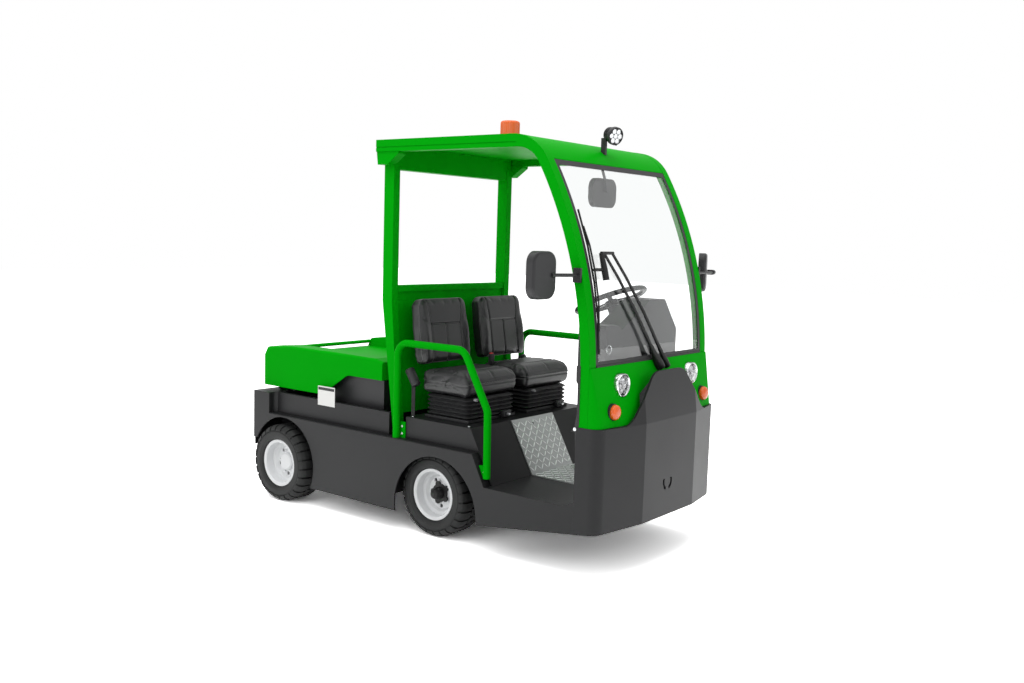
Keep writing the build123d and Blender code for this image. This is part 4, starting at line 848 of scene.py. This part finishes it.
# ---- seat belts ---------------------------------------------------------------------------
# A belt reel in a black case on a strap of steel at the outer rear corner of each seat, and a
# buckle with a red press button on a stalk between the seats.
red_plastic = finish("red_plastic", (0.55, 0.012, 0.01), 0.35)
deck_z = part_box("seat_box")[1].z
for name, s in (("right", -1), ("left", 1)):
    reel_at = Vector((s * 0.500, 0.172, 0.846))
    case = [(-0.050, 0.0), (-0.050, 0.022), (-0.044, 0.026), (0.044, 0.026), (0.050, 0.022), (0.050, 0.0)]
    dressed(turned(f"belt_reel_{name}", case, reel_at, steps=32, axis=(0, 0.55, 0.83)), black_plastic,
            "plastic_black")
    strap = block(f"reel_strap_{name}", (s * 0.498, 0.152, deck_z), (s * 0.503, 0.178, reel_at.z - 0.030),
                  0.001)
    dressed(strap, black_paint, "steel_black")
stalk = block("buckle_stalk", (-0.009, 0.030, deck_z), (0.009, 0.036, 0.900), 0.001)
dressed(stalk, black_paint, "steel_black")
dressed(block("buckle_body", (-0.016, 0.022, 0.890), (0.016, 0.046, 0.952), 0.005), black_plastic,
        "plastic_black")
dressed(block("buckle_button", (-0.011, 0.027, 0.950), (0.011, 0.041, 0.957), 0.002), red_plastic,
        "plastic_black")

# ---- dashboard controls -------------------------------------------------------------------
# Moulded black dashboard and column. The emergency stop is a red mushroom head, and the dial
# beside it has a bright rim.
red_lens = finish("red_lens", (0.5, 0.01, 0.01), 0.15)
coat_node(black_plastic, "dashboard", "steering_column", "steering_wheel", "pedals", "door_mirrors",
          "inside_mirror", "battery")
coat_node(red_lens, "tail_lamps")
pod_front = -0.958
dial_rim = [(-0.002, 0.018), (-0.002, 0.023), (0.003, 0.023), (0.004, 0.021), (0.003, 0.018),
            (-0.002, 0.018)]
dressed(turned("dial_rim", dial_rim, Vector((-0.330, pod_front, 1.089)), steps=32, axis=(0, -1, 0)), chrome,
        "lamp_clear")
stop = [(-0.002, 0.0), (-0.002, 0.008), (0.010, 0.008), (0.011, 0.016), (0.017, 0.015), (0.020, 0.0)]
dressed(turned("stop_button", stop, Vector((-0.300, -0.830, 1.205)), steps=24, axis=(0, 0, 1)), red_plastic,
        "plastic_black")

# ---- wiper --------------------------------------------------------------------------------
# A parallelogram wiper: two painted steel arms under flared plastic covers at the foot of the
# glass, joined at the top by a link that carries the long blade.
low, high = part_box("wiper")
arm_off = 0.027
wiper_parts = []
for foot_x, top_x, flare in ((0.030, -0.388, 0.026), (0.102, -0.315, 0.018)):
    foot_z, top_z = 0.985, 1.556
    route = []
    for t in (0.0, 0.05, 0.12, 0.22, 0.5, 0.8, 1.0):
        off = 0.036 - (0.036 - arm_off) * min(1, t / 0.2)
        route.append(on_screen(foot_x + (top_x - foot_x) * t, foot_z + (top_z - foot_z) * t, off))
    wiper_parts.append(cord("arm", route, [flare, flare, 0.6 * flare, 0.009, 0.008, 0.007, 0.007]))
wiper_parts.append(cord("link", [on_screen(x, 1.556, arm_off) for x in (-0.412, -0.307)], [0.008, 0.008]))
wiper_parts.append(cord("holder", [on_screen(-0.408, z, 0.025) for z in (1.430, 1.480, 1.556)],
                        [0.016, 0.016, 0.012]))
wiper_parts.append(cord("clamp", [on_screen(x, 1.478, 0.022) for x in (-0.492, -0.408)], [0.008, 0.008]))
blade = [on_screen(x, z, 0.010) for x, z in ((-0.500, 1.085), (-0.495, 1.250), (-0.491, 1.420),
                                             (-0.488, 1.590),
                                             (-0.486, 1.758))]
wiper_parts.append(cord("rubber", blade, [0.005] * 5))
bridge = [on_screen(x, z, off) for x, z, off in ((-0.498, 1.190, 0.013), (-0.493, 1.330, 0.022),
                                                 (-0.491, 1.478, 0.024),
                                                 (-0.488, 1.590, 0.022), (-0.487, 1.680, 0.013))]
wiper_parts.append(cord("bridge", bridge, [0.0045] * 5))
dressed(joined("wiper_arms", wiper_parts), black_paint, "plastic_black", "chassis", "wiper")

# ---- label plate and pillar trim ----------------------------------------------------------
# A blank white plate on the battery side with a black strip. Behind each front
# pillar a black rubber trim strip narrows downwards to a wedge, held by one screw.
white_plate = finish("white_plate", (0.80, 0.80, 0.78), 0.4, patch=0.02)
plate_x = -0.5266
dressed(block("label_plate", (plate_x - 0.0025, 0.760, 0.606), (plate_x, 0.905, 0.720), 0.001), white_plate,
        "paint_grey")
dressed(block("label_strip", (plate_x - 0.0032, 0.765, 0.697), (plate_x - 0.0025, 0.900, 0.713)),
        black_plastic,
        "plastic_black")
gasket_foot = block("gasket_foot", (-0.515, -1.018, 1.017), (0.515, -1.004, 1.031), 0.002)
dressed(gasket_foot, gasket_rubber, "bellows_rubber")
trim = [(-0.968, 1.030), (-0.945, 1.030), (-0.946, 0.958), (-0.955, 0.945), (-0.958, 0.752),
        (-0.926, 0.716),
        (-0.950, 0.716), (-0.970, 0.752)]
for name, s in (("right", -1), ("left", 1)):
    strip = prism(f"pillar_trim_{name}", [(s * 0.5752, y, z) for y, z in trim], (s * 0.0022, 0, 0))
    dressed(strip, lamp_rubber, "bellows_rubber")
    screw = turned(f"trim_screw_{name}", button, Vector((s * 0.5774, -0.948, 0.730)), steps=14,
                   axis=(s, 0, 0))
    dressed(screw, zinc, "pin_zinc")
